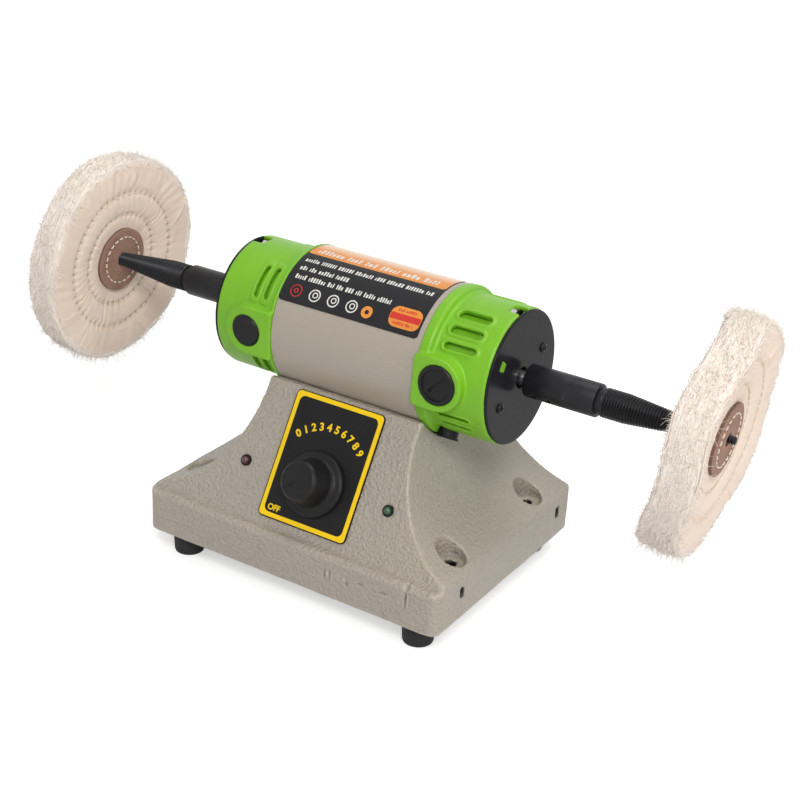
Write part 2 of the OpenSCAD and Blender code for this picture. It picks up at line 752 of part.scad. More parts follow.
RIGHT_VENTS = [[26, 5.6], [41.5, 4.6], [55.5, 3.6]];
LOWER_VENTS = [[116.5, 2.6], [127, 2.6], [138.5, 2.6]];
LEFT_VENTS = [[55.9, 32, 62], [62.7, 32, 62], [55.9, 113, 138], [62.7, 113, 138]];

module right_end_housing() {
    color([0.42, 0.75, 0.14]) difference() {
        union() {
            housing_cup(right_flange_w);
            difference() {
                side_pads(brush_angles, brush_x, brush_pad_r, brush_pad_x0, brush_pad_face, 3);
                bar(-cut, casing_half, casing_r + seat_gap);
                bar(0, housing_end, housing_in_r + 0.5);
            }
            housing_bosses();
            axial_vents(RIGHT_VENTS, vent_lip);
            axial_vents(LOWER_VENTS, vent_lip / 2);
        }
        side_holes(brush_angles, brush_x, [[housing_in_r / 2, holder_r], [cap_seat, cap_body_r],
            [cap_head_seat, brush_cap_d / 2]]);
        axial_vents(concat(RIGHT_VENTS, LOWER_VENTS), 0);
        housing_holes();
        at_motor(wire_plug_x, wire_plug_angle) translate([0, 0, housing_in_r / 2])
            cylinder(h = flange_r, r = wire_plug_r + seat_gap);
    }
}

module left_end_housing() {
    color([0.42, 0.75, 0.14]) mirror([1, 0, 0]) difference() {
        union() {
            housing_cup(left_flange_w);
            difference() {
                side_pads(plug_angles, plug_x, plug_d / 2 + 5, casing_half, plug_pad_face, 1);
                bar(0, housing_end, housing_in_r + 0.5);
            }
            housing_bosses();
            round_vents(LEFT_VENTS, 0.6 * vent_lip);
        }
        side_holes(plug_angles, plug_x,
            [[housing_in_r / 2, plug_hole_r - 1.5], [housing_in_r + 0.4, plug_hole_r]]);
        round_vents(LEFT_VENTS, 0);
        housing_holes();
    }
}

// End disc for the right-hand side, with its shaft hole and a small sight window
module end_disc() {
    difference() {
        turned() polygon([
            [6, housing_end], [disc_r, housing_end], [disc_r, housing_end + disc_t - 0.4],
            [disc_r - 0.4, housing_end + disc_t], [6, housing_end + disc_t]
        ]);
        for (a = [0, 180]) at_motor(housing_end - cut, disc_screw_angle + a)
            translate([0, 0, disc_screw_r]) rotate([0, 90, 0]) cylinder(h = 4 * cut, r = 1.6);
        at_motor(housing_end - cut, window_angle) translate([0, -window_w / 2, window_r])
            cube([4 * cut, window_w, window_w]);
    }
}

module right_end_disc() {
    color([0.14, 0.14, 0.15]) end_disc();
}

module left_end_disc() {
    color([0.14, 0.14, 0.15]) mirror([1, 0, 0]) end_disc();
}

module disc_screws() {
    face = housing_end + disc_t;
    color([0.15, 0.15, 0.16]) for (side = [0, 1]) mirror([side, 0, 0])
        for (a = [0, 180]) at_motor(0, disc_screw_angle + a) translate([0, 0, disc_screw_r])
            rotate([0, 90, 0]) difference() {
                union() {
                    translate([0, 0, face]) cylinder(h = 1.7, r1 = 2.8, r2 = 2);
                    translate([0, 0, face - 8]) cylinder(h = 8, r = 1.5);
                }
                for (t = [0, 90]) rotate([0, 0, t]) translate([0, 0, face + 1.7])
                    cube([2.8, 0.7, 1.6], center = true);
            }
}

module through_bolts() {
    color("silver") for (a = [0, 180]) at_motor(0, a) translate([0, 0, bolt_circle])
        rotate([0, 90, 0]) difference() {
            union() {
                translate([0, 0, -tie_head_x - tie_head_l])
                    cylinder(h = 2 * tie_head_x + tie_head_l, r = tie_r);
                translate([0, 0, tie_head_x]) cylinder(h = tie_head_l, r = 3.4);
            }
            translate([0, 0, tie_head_x + tie_head_l]) cube([8, 1, 2], center = true);
        }
}

module through_nuts() {
    color("silver") for (a = [0, 180]) at_motor(0, a) translate([0, 0, bolt_circle])
        rotate([0, 90, 0]) translate([0, 0, -tie_head_x - 3]) difference() {
            cylinder(h = 3, r = 3.7, $fn = 6);
            translate([0, 0, -cut]) cylinder(h = 5, r = tie_r + press_gap);
        }
}

module motor_bolts() {
    reach = 2.8;
    color("silver") for (side = [-1, 1]) translate([side * motor_bolt_x, motor_y, 0]) {
        translate([0, 0, cavity_top - 1]) cylinder(h = 1, r = 5.5);
        translate([0, 0, cavity_top - 4.5]) cylinder(h = 3.5, r = 4.6, $fn = 6);
        translate([0, 0, cavity_top - 1])
            cylinder(h = 1 + saddle_floor + casing_wall + reach, r = motor_bolt_r);
    }
}

module wire_plug() {
    color([0.06, 0.06, 0.06]) at_motor(wire_plug_x, wire_plug_angle) {
        translate([0, 0, housing_in_r - 1])
            cylinder(h = wire_plug_lip - housing_in_r + 1, r = wire_plug_r);
        translate([0, 0, wire_plug_lip]) cylinder(h = 1.2, r1 = wire_plug_r + 0.9, r2 = wire_plug_r + 0.5);
    }
}

// Poles face the front and the rear, with the coils round their necks
module stator_section() {
    pole_in = armature_d / 2 + 0.7;
    difference() {
        union() {
            difference() {
                circle(casing_in_r - seat_gap);
                circle(yoke_in_r);
            }
            intersection() {
                difference() {
                    circle(yoke_in_r + 1);
                    circle(pole_in);
                }
                union() {
                    square([2 * casing_r, pole_w], center = true);
                    difference() {
                        wedge(40, 140, 2 * casing_r);
                        circle(0.1);
                    }
                    wedge(220, 320, 2 * casing_r);
                }
            }
        }
        difference() {
            circle(yoke_in_r);
            circle(pole_in + 3);
            square([2 * casing_r, pole_w], center = true);
        }
        for (s = [-1, 1]) translate([0, s * bolt_circle]) circle(tie_r + 0.15);
    }
}

module stator_core() {
    color([0.45, 0.45, 0.47]) difference() {
        along_motor(-core_len / 2, core_len / 2) stator_section();
        for (side = [-1, 1]) at_motor(side * motor_bolt_x, 180)
            cylinder(h = casing_r, r = motor_bolt_r + seat_gap);
    }
}

module field_coils() {
    coil_in = armature_d / 2 + 4;
    coil_out = yoke_in_r - slide_gap;
    over = 8;
    side_mid = 37;
    side_half = 12;
    end_half = 30;
    half = core_len / 2;
    color([0.72, 0.35, 0.12]) for (mid = [90, 270]) {
        for (s = [-1, 1]) along_motor(-half - over, half + over)
            ring_sector(coil_in, coil_out, mid + s * side_mid - side_half, mid + s * side_mid + side_half);
        for (x = [-half - over, half + slide_gap]) along_motor(x, x + over - slide_gap)
            ring_sector(coil_in, coil_out, mid - end_half, mid + end_half);
    }
}

module motor_shaft() {
    color("silver") {
        bar(-shaft_end, shaft_end, shaft_r);
        bar(-web_x, web_x, shoulder_r);
    }
}

module armature_core() {
    half = core_len / 2;
    color([0.42, 0.42, 0.44]) difference() {
        bar(-half, half, armature_d / 2);
        bar(-half - cut, half + cut, shoulder_r + press_gap);
        for (a = [0:30:330]) at_motor(-half - cut, a) {
            translate([0, 0, armature_d / 2 - 4.5]) rotate([0, 90, 0])
                cylinder(h = core_len + 2 * cut, r = 2.4);
            translate([0, -0.7, armature_d / 2 - 4]) cube([core_len + 2 * cut, 1.4, 6]);
        }
    }
}

module armature_windings() {
    half = core_len / 2;
    bulge = 9;
    color([0.75, 0.38, 0.12]) {
        for (side = [-1, 1]) turned() polygon([
            [shoulder_r + 1.5, side * (half + 0.1)], [armature_d / 2 - 2, side * (half + 0.1)],
            [armature_d / 2 - 1, side * (half + 3)], [armature_d / 2 - 3, side * (half + bulge - 2)],
            [armature_d / 2 - 6, side * (half + bulge)], [shoulder_r + 3, side * (half + bulge)],
            [shoulder_r + 1.5, side * (half + bulge - 2)]
        ]);
        for (a = [0:30:330]) at_motor(-half - cut, a) translate([0, 0, armature_d / 2 - 4.5])
            rotate([0, 90, 0]) cylinder(h = 2 * half + 2 * cut, r = 2.25);
    }
}

module commutator() {
    color([0.75, 0.45, 0.2]) along_motor(brush_x - commutator_l / 2, brush_x + commutator_l / 2 - 4.5)
        difference() {
            circle(commutator_d / 2);
            circle(shoulder_r + press_gap);
            for (a = [0:15:345]) rotate(a) translate([commutator_d / 2, 0])
                square([1.4, 0.5], center = true);
        }
}

module cooling_fan() {
    x0 = -web_x + 3;
    fan_w = 11;
    fan_hub_r = 9;
    blade_t = 1.6;
    color([0.15, 0.15, 0.16]) difference() {
        union() {
            bar(x0, x0 + fan_w, fan_hub_r);
            bar(x0, x0 + 2, fan_d / 2);
            for (a = [0:36:324]) at_motor(x0 + 1, a) translate([0, -blade_t / 2, fan_hub_r - 1])
                cube([fan_w - 1, blade_t, fan_d / 2 - fan_hub_r + 0.5]);
        }
        bar(x0 - cut, x0 + fan_w + cut, shoulder_r + press_gap);
    }
}

module bearing() {
    turned(bearing_x) polygon([
        [shaft_r + run_gap, 0], [5.8, 0], [5.8, 0.6], [9.2, 0.6], [9.2, 0], [bearing_r, 0],
        [bearing_r, bearing_w], [9.2, bearing_w], [9.2, bearing_w - 0.6], [5.8, bearing_w - 0.6],
        [5.8, bearing_w], [shaft_r + run_gap, bearing_w]
    ]);
}

module right_bearing() {
    color([0.7, 0.7, 0.72]) bearing();
}

module left_bearing() {
    color([0.7, 0.7, 0.72]) mirror([1, 0, 0]) bearing();
}

module brush_holders() {
    color([0.75, 0.6, 0.25]) for (a = brush_angles) at_motor(brush_x, a) difference() {
        translate([0, 0, commutator_d / 2 + 2]) cylinder(h = cap_seat - commutator_d / 2 - 2, r = holder_r);
        translate([0, 0, 30]) cube([brush_b + 0.2, brush_w + 0.2, 60], center = true);
    }
}

module carbon_brushes() {
    color([0.15, 0.15, 0.15]) for (a = brush_angles) difference() {
        at_motor(brush_x, a) translate([-brush_b / 2, -brush_w / 2, commutator_d / 2 - 1])
            cube([brush_b, brush_w, brush_l]);
        bar(brush_x - 20, brush_x + 20, commutator_d / 2 + 0.05);
    }
}

// Unbroken round wire wound along Z: turns, coil radius, length and wire radius
module spring(turns, coil_r, length, wire_r) {
    steps = 8;
    sides = 6;
    rings = turns * steps;
    points = [
        for (i = [0:rings], k = [0:sides - 1])
            let (t = 360 * i / steps, b = 360 * k / sides, r = coil_r + wire_r * cos(b))
            [r * cos(t), r * sin(t), length * i / rings + wire_r * sin(b)]
    ];
    faces = [
        [for (k = [sides - 1:-1:0]) k],
        for (i = [0:rings - 1], k = [0:sides - 1])
            [i * sides + k, (i + 1) * sides + (k + 1) % sides, (i + 1) * sides + k],
        for (i = [0:rings - 1], k = [0:sides - 1])
            [i * sides + k, i * sides + (k + 1) % sides, (i + 1) * sides + (k + 1) % sides],
        [for (k = [0:sides - 1]) rings * sides + k]
    ];
    polyhedron(points, faces);
}

module brush_springs() {
    wire = 0.45;
    z0 = commutator_d / 2 - 1 + brush_l + wire;
    color("silver") for (a = brush_angles) at_motor(brush_x, a) translate([0, 0, z0 + 0.1])
        spring(6, 2.2, cap_seat - 0.2 - wire - z0, wire);
}

module brush_caps() {
    depth = brush_pad_face - cap_seat;
    step = cap_head_seat - cap_seat + face_gap;
    r = brush_cap_d / 2;
    color([0.05, 0.05, 0.05]) for (a = brush_angles) at_motor(brush_x, a) translate([0, 0, cap_seat])
        difference() {
            rotate_extrude() polygon([
                [0, face_gap], [cap_body_r, face_gap], [cap_body_r, step], [r, step], [r, depth],
                [r - 0.6, depth + 0.6], [r - 2.2, depth + 0.6],
                [r - 2.6, depth - 0.4], [0, depth - 0.4]
            ]);
            rotate([0, 0, 45]) translate([0, 0, depth]) cube([12, 1.8, 3], center = true);
        }
}

module blanking_plugs() {
    color([0.05, 0.05, 0.05]) for (a = plug_angles) at_motor(-plug_x, a)
        translate([0, 0, housing_in_r + 0.4]) rotate_extrude() polygon([
            [0, 0], [plug_hole_r, 0], [plug_hole_r, plug_pad_face - housing_in_r - 0.6],
            [plug_hole_r - 0.8, plug_pad_face - housing_in_r + 0.2],
            [0, plug_pad_face - housing_in_r + 0.2]
        ]);
}

// Spindle for the right-hand side
module spindle() {
    difference() {
        turned() polygon([
            [0, sleeve_x0], [sleeve_r - 0.6, sleeve_x0], [sleeve_r, sleeve_x0 + 0.6],
            [sleeve_r, sleeve_x1 - 0.6], [sleeve_r - 0.6, sleeve_x1], [screw_d / 2 - 0.9, sleeve_x1],
            [screw_d / 2 - 0.9, screw_x0], [screw_d / 2, screw_x0], [screw_d / 2, taper_x0],
            [tip_d / 2, tip_x], [0, tip_x]
        ]);
        bar(sleeve_x0 - cut, shaft_end + slide_gap, shaft_r + press_gap);
        for (x = set_screw_x) at_motor(x, set_screw_angle)
            cylinder(h = 2 * sleeve_r, r = set_screw_r + press_gap);
    }
}

module right_spindle() {
    color([0.05, 0.05, 0.055]) spindle();
}

module left_spindle() {
    color([0.05, 0.05, 0.055]) mirror([1, 0, 0]) spindle();
}

module spindle_set_screws() {
    color([0.2, 0.2, 0.22]) for (side = [0, 1]) mirror([side, 0, 0])
        for (x = set_screw_x) at_motor(x, set_screw_angle) difference() {
            translate([0, 0, shaft_r + 0.05]) cylinder(h = sleeve_r - shaft_r - 0.4, r = set_screw_r);
            translate([0, 0, sleeve_r - 2.4]) cylinder(h = 3, r = 1.4, $fn = 6);
        }
}

// Puts a wheel's piece on its spindle, leaning as the wheel does, and bores it for the screw
module on_spindle(side) {
    reach = hub_t + 4 * washer_t;
    lean = side > 0 ? right_wheel_lean : left_wheel_lean;
    turn = side > 0 ? right_wheel_turn : 0;
    difference() {
        translate([side * wheel_x, motor_y, motor_z]) rotate([0, 90 + lean, turn]) children();
        translate([side * (wheel_x - reach), motor_y, motor_z]) rotate([0, side * 90, 0])
            cylinder(h = 2 * reach, r1 = screw_r(wheel_x - reach) + seat_gap,
                r2 = screw_r(wheel_x + reach) + seat_gap);
    }
}

// Half the wheel's section in radius and thickness, with stitch grooves and a rim of plies
module cloth_section() {
    groove = 0.7;
    plies = 6;
    ply = rim_t / plies;
    rim_r = wheel_d / 2;
    h0 = hub_t / 2;
    h1 = rim_t / 2;
    hm = h0 + 0.55 * (h1 - h0);
    face = [
        [washer_d / 2 + 1, h0], [stitch_r_in - 2, h0 + 0.3 * (h1 - h0)],
        [stitch_r_in, h0 + 0.3 * (h1 - h0) - groove], [stitch_r_in + 2, hm],
        [stitch_r_out - 3, h1 - 0.2], [stitch_r_out, h1 - groove - 0.4], [stitch_r_out + 3, h1],
        [rim_r - 4, h1]
    ];
    rim = [
        for (i = [0:plies - 1], k = [0:2])
            [rim_r - [1.6, 0, 0][k] - pow(abs(i + 0.5 - plies / 2) / 3, 2) * 1.4,
                h1 - ply * (i + [0, 0.3, 0.7][k])]
    ];
    back = [for (i = [len(face) - 1:-1:0]) [face[i][0], -face[i][1]]];
    polygon(concat([[0, h0]], face, rim, [[rim_r - 3, -h1]], back, [[0, -h0]]));
}

module cloth_wheel(side) {
    on_spindle(side) rotate_extrude() cloth_section();
}

module right_cloth_wheel() {
    color([0.9, 0.84, 0.76]) cloth_wheel(1);
}

module left_cloth_wheel() {
    color([0.9, 0.84, 0.76]) cloth_wheel(-1);
}

module leather_washers(side) {
    r = washer_d / 2;
    seat = hub_t / 2 + 2 * face_gap;
    on_spindle(side) for (s = [-1, 1]) translate([0, 0, s * (seat + washer_t / 2)]) rotate_extrude()
        polygon([
            [0, -washer_t / 2], [r - 0.3, -washer_t / 2], [r, -washer_t / 2 + 0.3],
            [r, washer_t / 2 - 0.3], [r - 0.3, washer_t / 2], [0, washer_t / 2]
        ]);
}

module right_leather_washers() {
    color([0.5, 0.33, 0.24]) leather_washers(1);
}

module left_leather_washers() {
    color([0.5, 0.33, 0.24]) leather_washers(-1);
}

base_casting();
bottom_plate();
rubber_feet();
foot_screws();
control_panel();
speed_knob();
potentiometer();
potentiometer_nut();
potentiometer_shaft();
lamp_bezels();
red_lamp();
green_lamp();
cable_grommet();
speed_board();
board_screws();
motor_casing();
rating_plate();
left_end_housing();
right_end_housing();
left_end_disc();
right_end_disc();
disc_screws();
through_bolts();
through_nuts();
motor_bolts();
wire_plug();
stator_core();
field_coils();
motor_shaft();
armature_core();
armature_windings();
commutator();
cooling_fan();
left_bearing();
right_bearing();
brush_holders();
carbon_brushes();
brush_springs();
brush_caps();
blanking_plugs();
left_spindle();
right_spindle();
spindle_set_screws();
left_cloth_wheel();
right_cloth_wheel();
left_leather_washers();
right_leather_washers();
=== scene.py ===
"""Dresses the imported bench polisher: casting, housings, threads, prints and cloth."""

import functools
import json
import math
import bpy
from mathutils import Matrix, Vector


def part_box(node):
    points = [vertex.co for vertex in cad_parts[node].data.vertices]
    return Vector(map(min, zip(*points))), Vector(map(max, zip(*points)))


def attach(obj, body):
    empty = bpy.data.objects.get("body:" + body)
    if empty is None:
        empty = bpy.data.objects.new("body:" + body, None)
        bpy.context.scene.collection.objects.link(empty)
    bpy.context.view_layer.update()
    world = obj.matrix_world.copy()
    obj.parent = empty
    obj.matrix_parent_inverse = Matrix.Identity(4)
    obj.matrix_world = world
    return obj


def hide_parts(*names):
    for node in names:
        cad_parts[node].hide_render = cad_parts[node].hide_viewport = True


bl_info = {
    "name": "Bench Polisher",
    "version": (1, 0, 0),
    "blender": (4, 5, 0),
    "location": "3D View > Sidebar > Polisher",
    "description": "Makes the visible pieces and finishes round a packed bench polisher",
    "category": "Object",
}

import bmesh
import bpy
import numpy as np
from mathutils import Matrix, Vector

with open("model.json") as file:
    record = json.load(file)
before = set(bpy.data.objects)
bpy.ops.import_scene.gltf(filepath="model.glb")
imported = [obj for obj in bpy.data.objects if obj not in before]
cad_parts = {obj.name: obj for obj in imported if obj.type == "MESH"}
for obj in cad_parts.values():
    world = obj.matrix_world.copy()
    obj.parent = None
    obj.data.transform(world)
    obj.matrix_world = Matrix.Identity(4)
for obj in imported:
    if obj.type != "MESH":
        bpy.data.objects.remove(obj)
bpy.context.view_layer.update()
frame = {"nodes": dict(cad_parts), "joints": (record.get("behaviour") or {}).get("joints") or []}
NODES = frame["nodes"]
JOINTS = {joint["name"]: joint for joint in frame["joints"]}

MM = 0.001
DOUBLES = 2e-6  # points nearer than this are merged
SIDES = {-1: "left", 1: "right"}
AXIS_Y, AXIS_Z = JOINTS["rotor_spin"]["pos_m"][1:]
KNOB_CENTRE = Vector(JOINTS["knob_turn"]["pos_m"])
PANEL_OUT = -Vector(JOINTS["knob_turn"]["axis"])
PANEL_UP = PANEL_OUT.cross(Vector((1, 0, 0)))
PANEL_RISE = 10.926 * MM  # from the knob's centre up to the panel's
PANEL_FACE = 1.0 * MM
CASING_R = 40.7 * MM
VENT_BACK_R = 33.3 * MM
VENTS = ((18, 63), (110, 145), (-63, -18), (-145, -110))  # where the ribs stand, in degrees
VENT_ENDS = 54.5 * MM, 73.0 * MM
WINDOW_R = 25.3 * MM
WHEEL_X = 196.5 * MM
LETTER_HALF, LETTER_LIFT, LETTER_WEIGHT = 0.00004, 0.00005, 0.032  # the weight is of its size

# From here on in millimetres
BENCH_X, BENCH_Y, SLOT_Y = (-87.6, 80.4), (-42, 42), (-49, 58)  # openings of the casting
BOLT_R, FLANK_TOP, SLOT_Z, SLOT_HALF = 3.5, 40.3, 30.5, (2.1, 3.8)
# Marks in the casting's front: x, z, width, height and depth
DENTS = ((22.4, 28.6, 0.8, 2.8, 0.7), (24.4, 28.6, 0.9, 2.6, -0.5), (26.0, 29.4, 0.6, 2.2, 0.5),
         (27.4, 28.4, 0.7, 2.8, -0.5), (35.0, 29.0, 1.5, 1.4, -0.6), (36.8, 27.4, 1.0, 1.6, 0.8),
         (45.3, 30.3, 1.5, 0.9, 0.7), (60.0, 30.2, 2.4, 0.8, 0.7), (61.8, 29.2, 1.6, 0.7, -0.5),
         (73.6, 32.0, 0.8, 4.2, 1.1), (75.2, 31.4, 0.8, 3.8, -0.7), (74.2, 38.6, 1.1, 1.2, 1.3))
FOOT_TOP_R, FOOT_R = 10, 8.6
PLATE, FRAME_OUT, FRAME_IN = (57.6, 72.5, 3.2), (56.4, 71.3, 2.4), (51.4, 66.3, 3.4)
FRAME_THICK = 0.06
ARC_R, ARC_CENTRE, FIRST_FIGURE, FIGURE_STEP = 28.8, (0.4, 2.8), -44, 9.8  # turns in degrees
FIGURE_SIZE, OFF_SIZE, OFF_PLACE = 6.0, 4.6, (-19.6, -19.4)
LENS_DOME = ((0, -5), (2.3, -5), (2.35, 0.4), (2.2, 1.1), (1.8, 1.75), (1.25, 2.25), (0.6, 2.5),
             (0, 2.6))
LABEL_ANGLES, LABEL_ENDS = (-58.5, 20.0), (-46.0, 43.2)
LABEL_BACK, LABEL_FACE, BLOCK_SIZE = 0.02, 0.3, 2.4
PRINT, MARK = 0.04, 0.05  # how thick the label's large prints and its small marks are
CASING_BORE_R, CASING_EDGE, LUG_BACK = 38.7, 0.5, 3.2
SCREW_HEAD = ((0, -1), (2.2, -1), (2.75, 0), (2.75, 0.5), (2.4, 1.1), (1.6, 1.55), (0.8, 1.68),
              (0, 1.7))
SLEEVE, NECK, SCREW, TAPER, TIP = 92.5, 134.0, 137.0, 149.0, 208.5  # where a spindle's parts start
SLEEVE_BORE, SLEEVE_BORE_R, SLEEVE_R, NECK_R, SCREW_R, TIP_R = 19.8, 4.02, 9.0, 7.15, 8.0, 2.2
SET_SCREWS, SET_SCREW_ANGLE, SET_SCREW_R = (99.5, 108.3), 130, 2.55
WHEEL_LEANS = {-1: (4.8, 0), 1: (5.8, 2.4)}  # lean and turn of each wheel, in degrees
WHEEL_BENDS = {-1: (-0.9, 0.0), 1: (2.6, 2.0)}  # how far its rim flops up and front
RIM_HALVES = {-1: 9.0, 1: 10.2}  # half the thickness of each frayed rim
# Folds of the face that shows: where, from the bottom towards the back, slant, depth and width
FOLDS = {-1: ((170, 0.005, 1.5, 1.3), (177, 0.004, 0.8, 1.0), (103, 0.012, 1.3, 2.2),
              (62, -0.006, 0.9, 2.8), (15, 0.008, 0.7, 2.6), (300, -0.008, 0.6, 2.8)),
         1: ((185, 0.01, 0.8, 2.2), (140, -0.01, 0.9, 2.4), (30, 0.006, 0.7, 2.6),
             (350, -0.005, 0.8, 2.2))}
FACE_R = [3.9, 20.4, 26.3, 28.5, 31.0, 36.0, 39.6, 42.5, 46.0, 54.0, 59.0, 61.2, 62.4]
FACE_Z = [5.46, 5.5, 6.75, 6.1, 7.5, 8.3, 8.6, 8.0, 9.0, 9.35, 9.1, 8.2, 6.8]
STITCH_RINGS = ((28.5, 38), (42.5, 54))  # radius and number of stitches
LEATHER_R, LEATHER_BORE, SEAM_R, SEAM_STITCHES = 19.8, 3.75, 14.4, 22
HUB_HALF = 5.5
CORE_R, CORE_HALF = 61.8, 6.2  # the stack's edge between its faces
PLY_START, PLY_R, PLY_HALF = 56.5, 62.3, 0.22
# Two kinds of frayed ends: share of the density and of the length, width in metres, spread
FRAYS = (("short_fray", 0.6, 0.42, 0.0002, 1.45), ("long_fray", 0.19, 1.3, 0.00019, 0.75))


# Places on the object

def on_motor(x, angle, radius):
    """A point round the motor, angle in degrees from the top towards the front"""
    turn = math.radians(angle)
    return Vector((x, AXIS_Y - radius * math.sin(turn), AXIS_Z + radius * math.cos(turn)))


def on_panel(u, v, h):
    """A point on the front face, from the knob's centre to the right, up the slope and outwards"""
    return KNOB_CENTRE + Vector((u, 0, 0)) + PANEL_UP * v + PANEL_OUT * h


def on_label(u, v, h):
    """A point on the casing, from its middle along the motor and round from the top to the front"""
    return on_motor(u, math.degrees(-v / CASING_R), CASING_R + h)


def wheel_place(side):
    """The matrix of a cloth wheel, whose axis is its own Z"""
    lean, turn = WHEEL_LEANS[side]
    middle = Matrix.Translation((side * WHEEL_X, AXIS_Y, AXIS_Z))
    turned_rear = Matrix.Rotation(math.radians(turn), 4, "Z")
    return middle @ turned_rear @ Matrix.Rotation(math.radians(90 + lean), 4, "Y")


# Meshes

def configured(made, **settings):
    """Sets a new thing's properties"""
    for name, value in settings.items():
        setattr(made, name, value)
    return made


def linked(name, data):
    """Adds an object for a mesh or other data to the scene"""
    made = bpy.data.objects.new(name, data)
    bpy.context.scene.collection.objects.link(made)
    return made


def raw_mesh(name, points, faces=()):
    """A mesh of points and faces as they are given"""
    mesh = bpy.data.meshes.new(name)
    mesh.from_pydata([tuple(point) for point in points], [], list(faces))
    return mesh


def merged(mesh, recalculate=False):
    """Merges a mesh's doubles, and turns its faces outwards if asked"""
    work = bmesh.new()
    work.from_mesh(mesh)
    bmesh.ops.remove_doubles(work, verts=work.verts, dist=DOUBLES)
    if recalculate:
        bmesh.ops.recalc_face_normals(work, faces=work.faces)
    work.to_mesh(mesh)
    work.free()
    return mesh


def tidied(mesh, sharp=None, recalculate=True):
    """Merges a mesh's doubles, turns its faces outwards and smooths it up to an angle"""
    merged(mesh, recalculate).shade_smooth()
    if sharp:
        mesh.set_sharp_from_angle(angle=math.radians(sharp))
    return mesh


def mesh_of(name, points, faces, sharp):
    """A closed mesh from points and faces"""
    return tidied(raw_mesh(name, points, faces), sharp)


def evaluated(made):
    """The mesh that an object's modifiers or letters come to"""
    bpy.context.view_layer.update()
    depsgraph = bpy.context.evaluated_depsgraph_get()
    return bpy.data.meshes.new_from_object(made.evaluated_get(depsgraph), depsgraph=depsgraph)


def applied(made):
    """Turns an object's modifiers into its mesh"""
    old, mesh = made.data, evaluated(made)
    made.modifiers.clear()
    made.data = mesh
    mesh.name = made.name
    bpy.data.meshes.remove(old)
    return made


def discard(made):
    """Removes a helper object and its mesh"""
    mesh = made.data
    bpy.data.objects.remove(made)
    bpy.data.meshes.remove(mesh)


def cut_out(made, meshes):
    """Cuts meshes out of an object, and removes them"""
    cutters = [linked("cutter", mesh) for mesh in meshes]
    for cutter in cutters:
        configured(made.modifiers.new("Cut", "BOOLEAN"), operation="DIFFERENCE", object=cutter)
    applied(made)
    for cutter in cutters:
        discard(cutter)


def placed(made, paint, body, slot, *replaced):
    """Gives a finished piece its material and body, and hides the nodes that it stands for; its
    slot is not used
    """
    made.data.materials.clear()
    made.data.materials.append(finish(paint))
    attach(made, body)
    if replaced:
        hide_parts(*replaced)


def piece(name, mesh, *details):
    """Makes a finished piece of a mesh, with the details that placed() takes"""
    placed(linked(name, mesh), *details)


def softened(node, name, grid, passes, keep, unevenness=0.0, dents=()):
    """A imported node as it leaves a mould, with every edge rounded off"""
    mesh = configured(NODES[node].data.copy(), name=name)
    mesh.materials.clear()
    made = linked(name, merged(mesh))
    new = made.modifiers.new
    configured(new("Grid", "REMESH"), mode="VOXEL", voxel_size=grid, use_smooth_shade=True)
    configured(new("Edges", "SMOOTH"), factor=0.5, iterations=passes)
    if unevenness:
        clouds = configured(bpy.data.textures.new(name + "_unevenness", "CLOUDS"),
                            noise_scale=0.016, noise_depth=2)
        configured(new("Unevenness", "DISPLACE"), texture=clouds, texture_coords="LOCAL",
                   strength=unevenness, mid_level=0.6)
    applied(made)
    if dents:
        dented(made.data, dents)
    made.modifiers.new("Thin", "DECIMATE").ratio = keep
    applied(made).data.shade_smooth()
    return made


def turned(name, profile, place, segments=96, sharp=30):
    """A solid of revolution; profile lists radius and distance along in mm, place puts a point"""
    points, rings = [], []
    for radius, along in profile:
        count = segments if radius else 1
        rings.append(range(len(points), len(points) + count))
        for i in range(count):
            turn = 2 * math.pi * i / segments
            points.append(place(radius * MM * math.cos(turn), radius * MM * math.sin(turn),
                                along * MM))
    faces = []
    for a, b in zip(rings, rings[1:]):
        for i in range(segments):
            j = (i + 1) % segments
            corners = (a[i % len(a)], b[i % len(b)], b[j % len(b)], a[j % len(a)])
            faces.append(tuple(dict.fromkeys(corners)))
    return mesh_of(name, points, faces, sharp)


def ringed(rows, columns, offset=0, closed=True):
    """The faces between rings of points, and between the last and the first ring if closed"""
    faces = []
    for i in range(rows if closed else rows - 1):
        a, b = offset + i * columns, offset + (i + 1) % rows * columns
        faces += [(a + j, b + j, b + (j + 1) % columns, a + (j + 1) % columns)
                  for j in range(columns)]
    return faces


def slab(name, width, height, corner, thickness, place, columns=2, rows=2):
    """A thin closed plate with rounded corners that follows the surface it lies on"""
    steps = 5 if corner > 0 else 0
    edge = [(corner * (1 - math.cos(math.pi / 2 * i / steps)),
             corner * (1 - math.sin(math.pi / 2 * i / steps))) for i in range(steps)]
    lines = (edge + [(corner + (height - 2 * corner) * i / rows, 0.0) for i in range(rows + 1)]
             + [(height - v, inset) for v, inset in reversed(edge)])
    points = [place((width / 2 - inset) * (2 * i / columns - 1), v - height / 2, h)
              for h in (0.0, thickness) for v, inset in lines for i in range(columns + 1)]
    across, up = columns + 1, len(lines)
    layer = across * up
    faces = []
    for i in range(up - 1):
        for a in range(i * across, i * across + columns):
            b = a + across
            faces += [(a, b, b + 1, a + 1), (a + layer, a + 1 + layer, b + 1 + layer, b + layer)]
    rim = (list(range(across)) + [i * across + columns for i in range(1, up)]
           + [(up - 1) * across + j for j in range(columns - 1, -1, -1)]
           + [i * across for i in range(up - 2, 0, -1)])
    faces += [(a, b, b + layer, a + layer) for a, b in zip(rim, rim[1:] + rim[:1])]
    return mesh_of(name, points, faces, 40)


